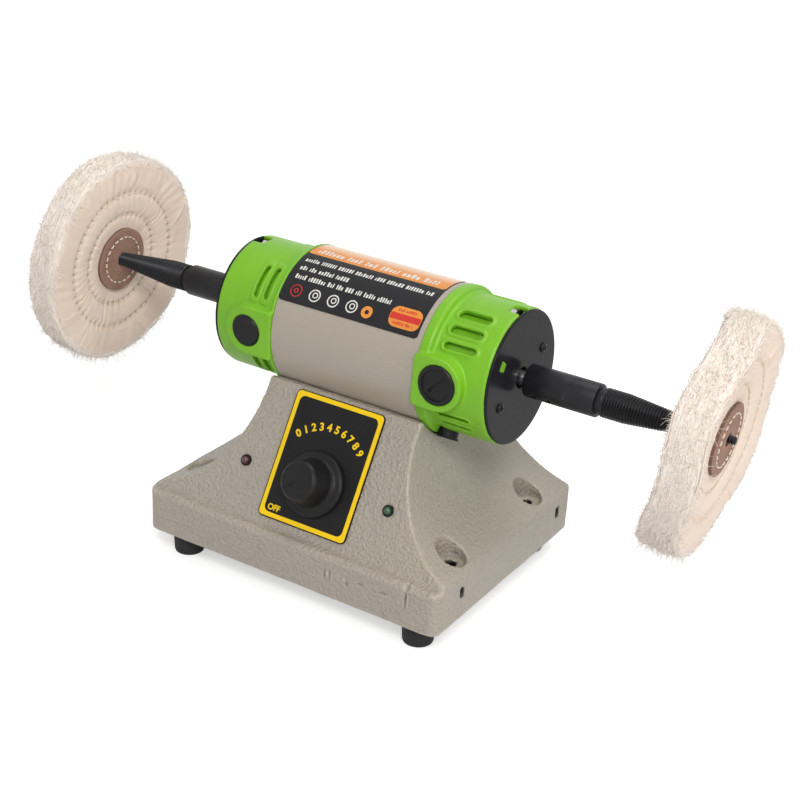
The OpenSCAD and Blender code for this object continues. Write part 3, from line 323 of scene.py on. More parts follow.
def rounded_loop(width, height, corner, steps=8):
    """The points round a rectangle with rounded corners"""
    points = []
    for k, (sx, sy) in enumerate(((1, 1), (-1, 1), (-1, -1), (1, -1))):
        for i in range(steps + 1):
            turn = math.pi / 2 * (k + i / steps)
            points.append((sx * (width / 2 - corner) + corner * math.cos(turn),
                           sy * (height / 2 - corner) + corner * math.sin(turn)))
    return points


def border(name, outer, inner, thickness, place):
    """A thin closed frame between two loops of points"""
    count = len(outer)
    points = [place(u, v, h) for h in (0.0, thickness) for loop in (outer, inner) for u, v in loop]
    low_out, low_in, top_out, top_in = (range(k * count, (k + 1) * count) for k in range(4))
    faces = []
    for i in range(count):
        j = (i + 1) % count
        faces += [(low_out[i], low_in[i], low_in[j], low_out[j]),
                  (top_out[i], top_out[j], top_in[j], top_in[i]),
                  (low_out[i], low_out[j], top_out[j], top_out[i]),
                  (low_in[i], top_in[i], top_in[j], low_in[j])]
    return mesh_of(name, points, faces, 40)


def joined(name, meshes):
    """One mesh out of several, which it removes"""
    points, faces = [], []
    for mesh in meshes:
        start = len(points)
        points += [tuple(vertex.co) for vertex in mesh.vertices]
        faces += [tuple(start + i for i in polygon.vertices) for polygon in mesh.polygons]
        bpy.data.meshes.remove(mesh)
    return tidied(raw_mesh(name, points, faces), 40, recalculate=False)


def lettering(text, size, centre, turn, place):
    """A figure or word as a thin mesh on a surface, centred and turned about its centre"""
    curve = configured(bpy.data.curves.new("figure", "FONT"), body=text, size=size,
                       align_x="CENTER", align_y="CENTER", extrude=LETTER_HALF,
                       offset=size * LETTER_WEIGHT, resolution_u=4)
    helper = linked("figure", curve)
    mesh = evaluated(helper)
    bpy.data.objects.remove(helper)
    bpy.data.curves.remove(curve)
    cos, sin = math.cos(turn), math.sin(turn)
    for vertex in mesh.vertices:
        x, y, z = vertex.co
        vertex.co = place(centre[0] + x * cos - y * sin, centre[1] + x * sin + y * cos,
                          z + LETTER_LIFT)
    return mesh


# Node trees

def add(tree, kind, inputs=None, **settings):
    """Adds a node with its settings, and sets or links its inputs"""
    made = configured(tree.nodes.new(kind), **settings)
    for key, value in (inputs or {}).items():
        if isinstance(value, bpy.types.NodeSocket):
            tree.links.new(value, made.inputs[key])
        else:
            made.inputs[key].default_value = value
    return made


def first(tree, kind, inputs=None, **settings):
    """The first output of a new node"""
    return add(tree, kind, inputs, **settings).outputs[0]


def calc(tree, operation, *values, clamp=False):
    """The result of a Math node"""
    return first(tree, "ShaderNodeMath", dict(enumerate(values)), operation=operation,
                 use_clamp=clamp)


def times(tree, value, amount):
    """The product of two values"""
    return calc(tree, "MULTIPLY", value, amount)


def xyz(tree, **parts):
    """A vector out of its parts"""
    return first(tree, "ShaderNodeCombineXYZ", parts)


def noise(tree, vector, scale, detail, roughness=0.5):
    """The value of a noise texture"""
    return first(tree, "ShaderNodeTexNoise", {"Vector": vector, "Scale": scale, "Detail": detail,
                                              "Roughness": roughness})


def ramped(tree, value, start, end, low, high):
    """A value's way from start to end brought between two others, and held beyond them"""
    return first(tree, "ShaderNodeMapRange", {"Value": value, "From Min": start, "From Max": end,
                                              "To Min": low, "To Max": high})


def spread(tree, value, low, high):
    """A 0 to 1 value brought between two others"""
    return ramped(tree, value, 0.0, 1.0, low, high)


def blended(tree, factor, low, high):
    """A colour between two, by a mask"""
    return add(tree, "ShaderNodeMix", {0: factor, 6: low, 7: high}, data_type="RGBA").outputs[2]


@functools.cache
def group(name):
    """A shared node group by its name, made when it is first asked for"""
    build, kind, inputs, outputs = GROUPS[name]
    tree = bpy.data.node_groups.new(name, kind)
    for way, sockets in (("INPUT", inputs), ("OUTPUT", outputs)):
        for label, given in sockets.items():
            typed = given if isinstance(given, str) else type(given).__name__.title()
            made = tree.interface.new_socket(label, in_out=way, socket_type="NodeSocket" + typed)
            if given != typed:
                made.default_value = given
    given = list(add(tree, "NodeGroupInput").outputs)[:len(inputs)]
    add(tree, "NodeGroupOutput", dict(zip(outputs, build(tree, *given))))
    return tree


def cloudy(tree, place, scale, contrast):
    """Soft cloudy variation from 0 to 1"""
    centred = calc(tree, "SUBTRACT", noise(tree, place, scale, 5.0, 0.6), 0.5)
    return [calc(tree, "MULTIPLY_ADD", centred, contrast, 0.5, clamp=True)]


def spray(tree, place, grain_scale, pebble_scale):
    """The pebbled relief of thick sprayed paint, with the tone of its grains"""
    grain = noise(tree, place, grain_scale, 3.0, 0.65)
    pebble = first(tree, "ShaderNodeTexVoronoi", {
        "Vector": place, "Scale": pebble_scale, "Smoothness": 0.45}, feature="SMOOTH_F1")
    height = calc(tree, "ADD", times(tree, pebble, 0.8), times(tree, grain, 0.6))
    centred = calc(tree, "SUBTRACT", grain, 0.5)
    return height, calc(tree, "MULTIPLY_ADD", centred, 2.6, 0.5, clamp=True)


def rubbed_streaks(tree, place, scale, amount):
    """Sparse streaks and rubbed spots, 0 where the surface is clean"""
    stretched = first(tree, "ShaderNodeMapping", {
        "Vector": place, "Rotation": (0.5, 0.3, 0.8), "Scale": (1.0, 0.16, 0.3)})
    streak, patches = noise(tree, stretched, scale, 6.0, 0.7), noise(tree, place, 45.0, 2.0)
    thin = calc(tree, "MULTIPLY_ADD", streak, 7.0, -4.0, clamp=True)
    where = calc(tree, "MULTIPLY_ADD", patches, 4.0, -1.8, clamp=True)
    return [times(tree, times(tree, thin, where), amount)]


def weave(tree, place, threads):
    """Plain weave seen square to its threads, with uneven yarn"""
    wander = times(tree, noise(tree, place, 160.0, 2.0), 5.0)
    parts = add(tree, "ShaderNodeSeparateXYZ", {"Vector": place}).outputs
    rows = []
    for label in ("Y", "Z"):
        bent = calc(tree, "ADD", times(tree, parts[label], threads), wander)
        rows.append(calc(tree, "SINE", times(tree, bent, math.pi)))
    height = calc(tree, "MULTIPLY_ADD", times(tree, *rows), 0.5, 0.5)
    slub = times(tree, noise(tree, place, 420.0, 4.0), 0.75)
    return height, calc(tree, "ADD", times(tree, height, 0.35), slub, clamp=True)


def dressed(tree, points, shape, turns, material, **size):
    """A shape at each point, made real and given its material"""
    spots = first(tree, "GeometryNodeInstanceOnPoints", {
        "Points": points, "Instance": shape, "Rotation": turns, **size})
    real = first(tree, "GeometryNodeRealizeInstances", {"Geometry": spots})
    return [first(tree, "GeometryNodeSetMaterial", {"Geometry": real, "Material": material})]


def stitch_ring(tree, _, stitches, radius, height, length, thread_radius, rising, uneven, seed,
                material):
    """Short raised stitches round a circle"""
    ring = first(tree, "GeometryNodeMeshCircle", {"Vertices": stitches, "Radius": radius})
    raised = first(tree, "GeometryNodeSetPosition", {
        "Geometry": ring, "Offset": xyz(tree, Z=height)})
    position = first(tree, "GeometryNodeInputPosition")
    tangent = first(tree, "ShaderNodeVectorMath", {0: (0.0, 0.0, 1.0), 1: position},
                    operation="CROSS_PRODUCT")
    facing = first(tree, "FunctionNodeAlignRotationToVector", {"Vector": tangent}, axis="X")
    swing = add(tree, "FunctionNodeRandomValue", {
        2: times(tree, uneven, -1.0), 3: uneven, "Seed": seed}, data_type="FLOAT").outputs[1]
    yaw = first(tree, "FunctionNodeEulerToRotation", {0: xyz(tree, Z=swing)})
    aimed = first(tree, "FunctionNodeRotateRotation", {0: facing, 1: yaw}, rotation_space="LOCAL")
    half = times(tree, length, 0.5)
    arch = first(tree, "GeometryNodeCurveQuadraticBezier", {
        "Resolution": 6, "Start": xyz(tree, X=times(tree, half, -1.0)),
        "Middle": xyz(tree, Z=times(tree, rising, 2.0)), "End": xyz(tree, X=half)})
    section = first(tree, "GeometryNodeCurvePrimitiveCircle", {
        "Resolution": 7, "Radius": thread_radius})
    thread = first(tree, "GeometryNodeCurveToMesh", {
        "Curve": arch, "Profile Curve": section, "Fill Caps": True})
    return dressed(tree, raised, thread, aimed, material)


def frayed_ends(tree, surface, density, length, width, wide, curl, seed, material):
    """Curved cotton ends that stand out of a surface"""
    spots = add(tree, "GeometryNodeDistributePointsOnFaces", {
        "Mesh": surface, "Density": density, "Seed": seed}).outputs
    low = times(tree, wide, -1.0)
    tilt = first(tree, "FunctionNodeRandomValue", {
        0: xyz(tree, X=low, Y=low, Z=-3.14), 1: xyz(tree, X=wide, Y=wide, Z=3.14),
        "Seed": seed}, data_type="FLOAT_VECTOR")
    lean = first(tree, "FunctionNodeEulerToRotation", {0: tilt})
    aimed = first(tree, "FunctionNodeRotateRotation", {0: spots["Rotation"], 1: lean},
                  rotation_space="LOCAL")
    size = add(tree, "FunctionNodeRandomValue", {2: 0.35, 3: 1.0, "Seed": 7},
               data_type="FLOAT").outputs[1]
    fibre = first(tree, "GeometryNodeMeshCone", {
        "Vertices": 3, "Side Segments": 2, "Radius Top": times(tree, width, 0.35),
        "Radius Bottom": width, "Depth": length})
    along = add(tree, "ShaderNodeSeparateXYZ", {
        "Vector": first(tree, "GeometryNodeInputPosition")}).outputs["Z"]
    bend = xyz(tree, X=times(tree, times(tree, along, along), curl))
    curled = first(tree, "GeometryNodeSetPosition", {"Geometry": fibre, "Offset": bend})
    return dressed(tree, spots["Points"], curled, aimed, material, Scale=size)


def repeated_shape(tree, points, template, material):
    """One shape at each point, turned to face along the point's way attribute"""
    shape = add(tree, "GeometryNodeObjectInfo", {"Object": template},
                transform_space="ORIGINAL").outputs["Geometry"]
    way = first(tree, "GeometryNodeInputNamedAttribute", {"Name": "way"}, data_type="FLOAT_VECTOR")
    facing = first(tree, "FunctionNodeAlignRotationToVector", {"Vector": way}, axis="Z")
    return dressed(tree, points, shape, facing, material)


SKIN_OUT, SHAPE_OUT = {"Height": "Float", "Tone": "Float"}, {"Geometry": "Geometry"}
# Each group's builder, kind of tree, inputs with their default or kind of socket, and outputs
GROUPS = {
    "Mottle": (cloudy, "ShaderNodeTree", {"Vector": "Vector", "Scale": 60.0, "Contrast": 1.6},
               {"Value": "Float"}),
    "Sprayed Paint": (spray, "ShaderNodeTree", {
        "Vector": "Vector", "Grain Scale": 900.0, "Pebble Scale": 420.0}, SKIN_OUT),
    "Scuffs": (rubbed_streaks, "ShaderNodeTree", {
        "Vector": "Vector", "Scale": 140.0, "Amount": 0.3}, {"Mask": "Float"}),
    "Plain Weave": (weave, "ShaderNodeTree", {"Vector": "Vector", "Threads": 1500.0}, SKIN_OUT),
    "Ring Of Stitches": (stitch_ring, "GeometryNodeTree", {
        "Geometry": "Geometry", "Stitches": 36, "Ring Radius": 0.0285, "Height": 0.006,
        "Stitch Length": 0.003, "Thread Radius": 0.0004, "Rise": 0.0006, "Unevenness": 0.12,
        "Seed": 1, "Material": "Material"}, SHAPE_OUT),
    "Frayed Ends": (frayed_ends, "GeometryNodeTree", {
        "Geometry": "Geometry", "Density": 600000.0, "Length": 0.003, "Width": 0.00014,
        "Spread": 0.9, "Curl": 90.0, "Seed": 1, "Material": "Material"}, SHAPE_OUT),
    "Repeated Shape": (repeated_shape, "GeometryNodeTree", {
        "Geometry": "Geometry", "Shape": "Object", "Material": "Material"}, SHAPE_OUT),
}


def grown(made, name, **values):
    """Runs a geometry node group on an object, with its inputs by name, and keeps the plain mesh"""
    tree = group(name)
    modifier = configured(made.modifiers.new(name, "NODES"), node_group=tree)
    for item in tree.interface.items_tree:
        label = item.name.replace(" ", "_").lower()
        if item.in_out == "INPUT" and label in values:
            modifier[item.identifier] = values[label]
    return applied(made)


def repeated(name, shape, spots, paint):
    """A piece made of one shape at several points, each a place and the way it faces"""
    mesh = raw_mesh(name, [place for place, way in spots])
    way = mesh.attributes.new("way", "FLOAT_VECTOR", "POINT")
    for item, (place, facing) in zip(way.data, spots):
        item.vector = facing
    template = linked(name + "_shape", shape)
    made = grown(linked(name, mesh), "Repeated Shape", shape=template, material=finish(paint))
    discard(template)
    tidied(made.data, 35, recalculate=False)
    return made


# Materials

# Colours of painted shade: in the casting's holes and slots, in the cloth's stitch holes and folds,
# and in the leather's stitch holes, whose mask also darkens its cut edge
PAINTED_HOLE_SHADE, CLOTH_CREASE_SHADE, LEATHER_CREASE = (
    (0.012, 0.011, 0.01, 1.0), (0.16, 0.11, 0.07, 1.0), (0.05, 0.03, 0.02, 1.0))
# MASK_WEIGHT sets how strongly the painted shade in hollows and the painted highlight on edges show
SCUFF_ROUGHNESS, MASK_WEIGHT = 0.35, 0.6


def linear(*screen):
    """A screen colour of 0 to 255 as the linear colour that Blender keeps"""
    parts = [value / 255 for value in screen]
    return tuple(part / 12.92 if part <= 0.04045 else ((part + 0.055) / 1.055) ** 2.4
                 for part in parts) + (1.0,)


def shade(colour, amount):
    """A colour made darker or lighter, by one amount or one for each of its parts"""
    parts = zip(colour, np.broadcast_to(amount, 3).tolist())
    return tuple(min(1.0, part * share) for part, share in parts) + (1.0,)


def chosen(name):
    """The colour that a user gave a part"""
    return tuple(getattr(bpy.context.scene.polisher_colours, name))


def effect(tree, name, inputs):
    """The outputs of a shared effect, placed in a material with its own values"""
    return add(tree, "ShaderNodeGroup", inputs, node_tree=group(name)).outputs


def mottled(tree, place, scale, contrast=1.6):
    """Cloudy variation from 0 to 1"""
    return effect(tree, "Mottle", {"Vector": place, "Scale": scale, "Contrast": contrast})["Value"]


def worn_spots(tree, place, amount):
    """A mask of streaks and rubbed spots"""
    return effect(tree, "Scuffs", {"Vector": place, "Amount": amount})["Mask"]


def marked(tree, name):
    """A mask that the piece's points carry"""
    return add(tree, "ShaderNodeAttribute", attribute_name=name).outputs["Fac"]


def bumped(tree, height, distance):
    """The normals that a height gives a surface, its distance in metres"""
    return first(tree, "ShaderNodeBump", {"Height": height, "Distance": distance})


def material_of(name, describe):
    """A material whose shader has the inputs that a description gives for a tree and a place"""
    material = configured(bpy.data.materials.new(name), use_nodes=True)
    tree = material.node_tree
    tree.nodes.clear()
    place = add(tree, "ShaderNodeTexCoord").outputs["Object"]
    shader = first(tree, "ShaderNodeBsdfPrincipled", describe(tree, place))
    add(tree, "ShaderNodeOutputMaterial", {"Surface": shader})
    return material


def general(tree, place, light, dark, rough, rubbed=None, metallic=0.0, coat=0.0, mottle=60.0,
            grain=700.0, depth=0.00002, scuffs=0.3, shine=0.5):
    """A moulded or metal finish: two close tones, uneven gloss, fine relief and light scuffs"""
    tone, fine = mottled(tree, place, mottle), mottled(tree, place, grain, 1.0)
    worn = worn_spots(tree, place, scuffs)
    rubbed = rubbed or tuple(min(1.0, c * 1.8 + 0.02) for c in light[:3]) + (1.0,)
    return {"Base Color": blended(tree, worn, blended(tree, tone, dark, light), rubbed),
            "Roughness": calc(tree, "ADD", spread(tree, tone, *rough),
                              times(tree, worn, SCUFF_ROUGHNESS), clamp=True),
            "Metallic": metallic, "Specular IOR Level": shine, "Coat Weight": coat,
            "Coat Roughness": 0.12, "Normal": bumped(tree, fine, depth)}


def plain(tree, place, light, dark, rough, rubbed=None, **look):
    """A moulded or metal finish with its colours as 0 to 255"""
    return general(tree, place, linear(*light), linear(*dark), rough,
                   rubbed and linear(*rubbed), **look)


def moulded_green(tree, place):
    """The plastic of the motor's end housings"""
    return general(tree, place, chosen("housing"), shade(chosen("housing"), 0.84), (0.3, 0.44),
                   coat=0.05, mottle=30.0, scuffs=0.18, shine=0.35)


def sprayed(tree, place, part, low, high, rough, pebble, depth):
    """Thick sprayed paint with a pebbled skin and speckled grain, with painted shade in its hollows
    and holes and a painted highlight on its edges
    """
    colour = chosen(part)
    low, high = shade(colour, low), shade(colour, high)
    skin = effect(tree, "Sprayed Paint", {"Vector": place, "Pebble Scale": pebble,
                                          "Grain Scale": pebble * 2.3})
    speckled = blended(tree, skin["Tone"], low, high)
    clean = blended(tree, mottled(tree, place, 26.0, 1.5), speckled, colour)
    used = blended(tree, worn_spots(tree, place, 0.22), clean, low)
    hollow, ridge = (times(tree, marked(tree, name), MASK_WEIGHT) for name in ("hollow", "ridge"))
    # Painted shade: darker where the casting turns inwards, in hollows and corners
    shaded_hollows = blended(tree, hollow, used, shade(low, 0.55))
    # Painted highlight along convex edges, partly also paint worn thin there
    thin = blended(tree, ridge, shaded_hollows, shade(colour, 1.5))
    # Near-black painted shade inside the bench holes and side slots
    return {"Base Color": blended(tree, marked(tree, "hole"), thin, PAINTED_HOLE_SHADE),
            "Roughness": spread(tree, skin["Tone"], *rough), "Coat Weight": 0.28,
            "Coat Roughness": 0.2, "Normal": bumped(tree, skin["Height"], depth)}


def cloth(tree, place):
    """Unbleached cotton, whiter where the rim is frayed, with painted shade in its stitch holes and
    along its folds
    """
    cream = chosen("cloth")
    woven = effect(tree, "Plain Weave", {"Vector": place})
    stain = mottled(tree, place, 34.0, 1.8)
    base = blended(tree, stain, shade(cream, (0.98, 0.9, 0.8)), cream)
    threads = blended(tree, woven["Tone"], shade(cream, (0.9, 0.86, 0.81)), base)
    whiter = blended(tree, marked(tree, "frayed"), threads, chosen("nap"))
    # The crease mask paints shade into the stitch holes and along the folds
    return {"Base Color": blended(tree, marked(tree, "crease"), whiter, CLOTH_CREASE_SHADE),
            "Roughness": spread(tree, stain, 0.82, 0.95), "Sheen Weight": 0.25,
            "Sheen Roughness": 0.6, "Specular IOR Level": 0.2,
            "Normal": bumped(tree, woven["Height"], 0.00012)}


def nap(tree, place):
    """Frayed cotton ends, each a little different"""
    tone, white = mottled(tree, place, 60.0, 2.6), chosen("nap")
    return {"Base Color": blended(tree, tone, shade(white, (0.98, 0.91, 0.83)), white),
            "Roughness": spread(tree, tone, 0.8, 0.95), "Sheen Weight": 0.6,
            "Sheen Roughness": 0.5, "Specular IOR Level": 0.15}


def leather(tree, place):
    """Split leather with a suede grain, paler round the bore, darker at its cut edge, and with
    painted shade in its stitch holes
    """
    tan = chosen("leather")
    pale = shade(tan, (1.5, 1.5, 1.45))
    cloud, fibre = mottled(tree, place, 130.0, 2.4), mottled(tree, place, 900.0)
    base = blended(tree, cloud, shade(tan, (0.55, 0.5, 0.48)), tan)
    suede = blended(tree, times(tree, fibre, 0.5), base, pale)
    rubbed = blended(tree, marked(tree, "worn"), suede, pale)
    # The crease mask paints shade into the stitch holes and darkens the cut edge
    return {"Base Color": blended(tree, marked(tree, "crease"), rubbed, LEATHER_CREASE),
            "Roughness": spread(tree, cloud, 0.65, 0.85), "Specular IOR Level": 0.3,
            "Normal": bumped(tree, fibre, 0.00012)}


def band(tree, place):
    """Orange print that fades towards the back of the label"""
    along = add(tree, "ShaderNodeSeparateXYZ", {"Vector": place}).outputs["Y"]
    fade = ramped(tree, along, AXIS_Y - 1 * MM, AXIS_Y + 11 * MM, 0.0, 1.0)
    tone = mottled(tree, place, 200.0)
    orange = blended(tree, tone, linear(224, 138, 52), linear(232, 150, 64))
    return {"Base Color": blended(tree, fade, orange, linear(248, 228, 206)),
            "Roughness": spread(tree, tone, 0.3, 0.42)}


def lens(tree, place, deep, bright):
    """A small tinted plastic lens with uneven depth"""
    tone = mottled(tree, place, 300.0, 1.2)
    return {"Base Color": blended(tree, tone, linear(*deep), linear(*bright)),
            "Roughness": spread(tree, tone, 0.12, 0.2), "Coat Weight": 0.6}


# Light and dark tone, roughness between the two and, where it isn't just lighter, the rubbed tone
PLAIN = {
    "disc_plastic": (((42, 42, 46), (32, 32, 35), (0.14, 0.26), (80, 80, 84)),
                     dict(mottle=40.0, depth=0.00001, scuffs=0.12, shine=0.08)),
    "black_plastic": (((32, 32, 34), (22, 22, 23), (0.3, 0.45), (70, 70, 72)),
                      dict(mottle=90.0, shine=0.2)),
    "rubber": (((50, 50, 52), (32, 32, 34), (0.6, 0.8)),
               dict(mottle=120.0, depth=0.00005, scuffs=0.5, shine=0.3)),
    "panel_plate": (((30, 30, 31), (20, 20, 21), (0.38, 0.5), (66, 66, 68)),
                    dict(grain=2400.0, depth=0.00003, scuffs=0.12, shine=0.18)),
    "label_plate": (((34, 34, 37), (24, 24, 26), (0.26, 0.36), (74, 74, 78)),
                    dict(grain=1800.0, depth=0.00001, scuffs=0.15, shine=0.25)),
    "yellow_print": (((255, 216, 0), (248, 202, 0), (0.35, 0.5), (120, 96, 20)),
                     dict(scuffs=0.1)),
    "white_print": (((236, 234, 228), (214, 212, 206), (0.35, 0.5), (160, 158, 150)),
                    dict(scuffs=0.1)),
    "red_print": (((214, 52, 40), (190, 36, 28), (0.4, 0.6), (230, 120, 110)), dict(scuffs=0.1)),
    "black_steel": (((44, 44, 47), (26, 26, 28), (0.3, 0.46), (96, 96, 98)),
                    dict(metallic=0.4, mottle=140.0, grain=1500.0, shine=0.3)),
    "zinc_steel": (((205, 205, 202), (168, 168, 166), (0.24, 0.4)),
                   dict(metallic=1.0, mottle=220.0, scuffs=0.4)),
    "ground_steel": (((200, 200, 202), (166, 166, 170), (0.24, 0.38)),
                     dict(metallic=1.0, mottle=160.0, scuffs=0.25)),
    "core_steel": (((128, 130, 134), (92, 94, 98), (0.38, 0.55)),
                   dict(metallic=0.9, mottle=180.0, grain=2600.0, depth=0.00005)),
    "circuit_board": (((36, 104, 58), (24, 78, 42), (0.3, 0.45)), dict(mottle=160.0)),
    "copper_wire": (((198, 112, 62), (150, 74, 36), (0.25, 0.4)),
                    dict(metallic=0.9, mottle=400.0, grain=2200.0, depth=0.0001, scuffs=0.1)),
    "copper_bars": (((208, 128, 78), (170, 92, 52), (0.2, 0.35)),
                    dict(metallic=1.0, mottle=260.0, scuffs=0.5)),
    "brass": (((206, 172, 96), (172, 138, 68), (0.22, 0.36)), dict(metallic=1.0, mottle=200.0)),
    "carbon": (((56, 56, 58), (36, 36, 38), (0.5, 0.7)), dict(mottle=500.0, depth=0.00004)),
    "sewing_thread": (((240, 232, 214), (216, 204, 182), (0.75, 0.9)),
                      dict(grain=3000.0, depth=0.00006, scuffs=0.1)),
}
SPECIAL = {
    "cast_paint": (sprayed, "casting", 0.8, 1.14, (0.24, 0.44), 560.0, 0.001),
    "casing_paint": (sprayed, "casing", 0.9, 1.08, (0.32, 0.5), 900.0, 0.00022),
    "green_plastic": (moulded_green,),
    "orange_print": (band,),
    "red_lens": (lens, (62, 14, 16), (98, 28, 28)),
    "green_lens": (lens, (16, 62, 34), (28, 92, 50)),
    "cotton_cloth": (cloth,),
    "frayed_cotton": (nap,),
    "split_leather": (leather,),
}


@functools.cache
def finish(name):
    """A material by its name, made when it is first asked for"""
    if name in PLAIN:
        values, look = PLAIN[name]
        return material_of(name, lambda tree, place: plain(tree, place, *values, **look))
    describe, *values = SPECIAL[name]
    return material_of(name, lambda tree, place: describe(tree, place, *values))


# Pieces

def dented(mesh, dents):
    """Presses marks into a mesh's front"""
    work = bmesh.new()
    work.from_mesh(mesh)
    limit = min(vert.co.y for vert in work.verts) + 3 * MM
    low, high = min(dent[0] for dent in dents) - 4, max(dent[0] for dent in dents) + 4
    near = {vert for vert in work.verts if vert.co.y < limit and vert.normal.y < -0.6
            and low * MM < vert.co.x < high * MM}
    edges = [edge for edge in work.edges if edge.verts[0] in near and edge.verts[1] in near]
    bmesh.ops.subdivide_edges(work, edges=edges, cuts=2, use_grid_fill=True)
    for vert in work.verts:
        x, _, z = vert.co / MM
        if vert.co.y < limit and low < x < high:
            for middle, level, width, height, depth in dents:
                vert.co.y += depth * MM * math.exp(-((x - middle) / width) ** 2
                                                   - ((z - level) / height) ** 2)
    work.to_mesh(mesh)
    work.free()


def read(items, name, kind=float, wide=3):
    """One property of all of a mesh's points or edges"""
    values = np.empty(len(items) * wide, kind)
    items.foreach_get(name, values)
    return values.reshape(-1, wide)


def attributed(mesh, **values):
    """Writes a value for each point of a mesh under each name"""
    for label, value in values.items():
        data = np.broadcast_to(np.asarray(value, np.float32), (len(mesh.vertices),))
        mesh.attributes.new(label, "FLOAT", "POINT").data.foreach_set("value", np.array(data))


def bending(mesh):
    """How sharply a mesh turns at each point, in 1/m, above 0 at an edge and below 0 in a corner"""
    count = len(mesh.vertices)
    points, normals = read(mesh.vertices, "co"), read(mesh.vertices, "normal")
    a, b = read(mesh.edges, "vertices", np.int32, 2).T
    way = points[b] - points[a]
    square = np.maximum((way ** 2).sum(1), 1e-12)
    share = np.maximum(np.bincount(a, minlength=count) + np.bincount(b, minlength=count), 1)
    bend = (np.bincount(a, -(way * normals[a]).sum(1) / square, count)
            + np.bincount(b, (way * normals[b]).sum(1) / square, count)) / share
    for _ in range(3):
        near = np.bincount(a, bend[b], count) + np.bincount(b, bend[a], count)
        bend = 0.5 * bend + 0.5 * near / share
    return bend


def make_base():
    """The painted casting and its rubber feet"""
    sizes = bpy.context.scene.polisher_sizes
    casting = softened("base_casting", "painted_casting", sizes.casting_grid, 2, 0.5,
                       sizes.unevenness, DENTS)
    bend = bending(casting.data)
    x, y, z = read(casting.data.vertices, "co").T / MM
    # Points inside the bench holes and side slots, which get near-black painted shade
    bolt = np.min([np.hypot(x - a, y - b) for a in BENCH_X for b in BENCH_Y], axis=0)
    shaded_in_holes = (bolt < BOLT_R) & (z < FLANK_TOP)
    for level in SLOT_Y:
        shaded_in_holes |= ((np.abs(y - level) < SLOT_HALF[0]) & (np.abs(z - SLOT_Z) < SLOT_HALF[1])
                   & (x < x.max() - 0.5) & (x > x.min() + 0.5))
    # Masks of painted light: shade in hollows, a highlight on convex edges, near-black shade in the
    # holes and slots
    attributed(casting.data, ridge=np.clip((bend - 50) / 130, 0, 1),
               hollow=np.clip((-bend - 25) / 110, 0, 1), hole=shaded_in_holes)
    placed(casting, "cast_paint", "machine", "cast_paint", "base_casting")

    low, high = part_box("rubber_feet")
    top, inset = high.z / MM, FOOT_TOP_R * MM
    foot = turned("foot", [
        (0, 1.5), (4.2, 1.5), (4.8, 0.3), (5.4, 0), (FOOT_R - 1.4, 0), (FOOT_R - 0.4, 0.5),
        (FOOT_R, 1.6), (FOOT_TOP_R - 0.9, top - 3), (FOOT_TOP_R - 0.1, top - 2.4),
        (FOOT_TOP_R, top - 1.2), (FOOT_TOP_R - 0.4, top - 0.2), (FOOT_TOP_R - 1, top), (0, top)],
        lambda *point: Vector(point), 64, 35)
    spots = [(Vector((x, y, 0)), (0, 0, 1)) for x in (low.x + inset, high.x - inset)
             for y in (low.y + inset, high.y - inset)]
    placed(repeated("rubber_foot_set", foot, spots, "rubber"), "rubber", "machine", "rubber",
           "rubber_feet")


def make_panel():
    """The control panel with its print, the knob and the two lenses"""
    def on_plate(u, v, h):
        return on_panel(u, v + PANEL_RISE, h)

    def printed(u, v, h):
        return on_panel(u, v, PANEL_FACE + h)

    def in_metres(sizes):
        return [size * MM for size in sizes]

    piece("panel_plate", slab("panel", *in_metres(PLATE), PANEL_FACE, on_plate), "panel_plate",
          "machine", "panel_print", "control_panel")
    loops = [rounded_loop(*in_metres(sizes)) for sizes in (FRAME_OUT, FRAME_IN)]
    prints = [border("frame", *loops, FRAME_THICK * MM,
                     lambda u, v, h: on_plate(u, v, PANEL_FACE + h))]
    for i in range(10):
        turn = math.radians(FIRST_FIGURE + FIGURE_STEP * i)
        spot = in_metres((ARC_CENTRE[0] + ARC_R * math.sin(turn),
                          ARC_CENTRE[1] + ARC_R * math.cos(turn)))
        prints.append(lettering(str(i), FIGURE_SIZE * MM, spot, -turn, printed))
    prints.append(lettering("OFF", OFF_SIZE * MM, in_metres(OFF_PLACE), 0.0, printed))
    piece("panel_printing", joined("panel_printing", prints), "yellow_print", "machine",
          "panel_print")

    placed(softened("speed_knob", "moulded_knob", 0.42 * MM, 3, 0.5), "black_plastic", "knob",
           "black_plastic", "speed_knob")

    for name, node in (("red_lens", "red_lamp"), ("green_lens", "green_lamp")):
        middle = (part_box(node)[0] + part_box(node)[1]) / 2
        piece(name + "_dome",
              turned(name, LENS_DOME, lambda x, y, z, m=middle: on_panel(m.x + x, y, z), 40, 40),
              name, "machine", name, node)


def patch(name, angles, ends, corner, low, high, rows=8, columns=4):
    """A patch of the label between two angles and two places along the motor"""
    width, height = (ends[1] - ends[0]) * MM, math.radians(angles[1] - angles[0]) * CASING_R
    u0, v0 = (ends[0] + ends[1]) / 2 * MM, math.radians((angles[0] + angles[1]) / 2) * CASING_R
    return slab(name, width, height, corner * MM, (high - low) * MM,
                lambda u, v, h: on_label(u0 + u, v0 + v, low * MM + h), columns, rows)


def round_mark(x, angle, outer, inner):
    """A round mark on the label, between two radii"""
    loops = [rounded_loop(2 * r * MM, 2 * r * MM, 0.98 * r * MM) for r in (outer, inner)]
    return border("mark", *loops, MARK * MM, lambda u, v, h: on_label(
        x * MM + u, math.radians(angle) * CASING_R + v, LABEL_FACE * MM + h))


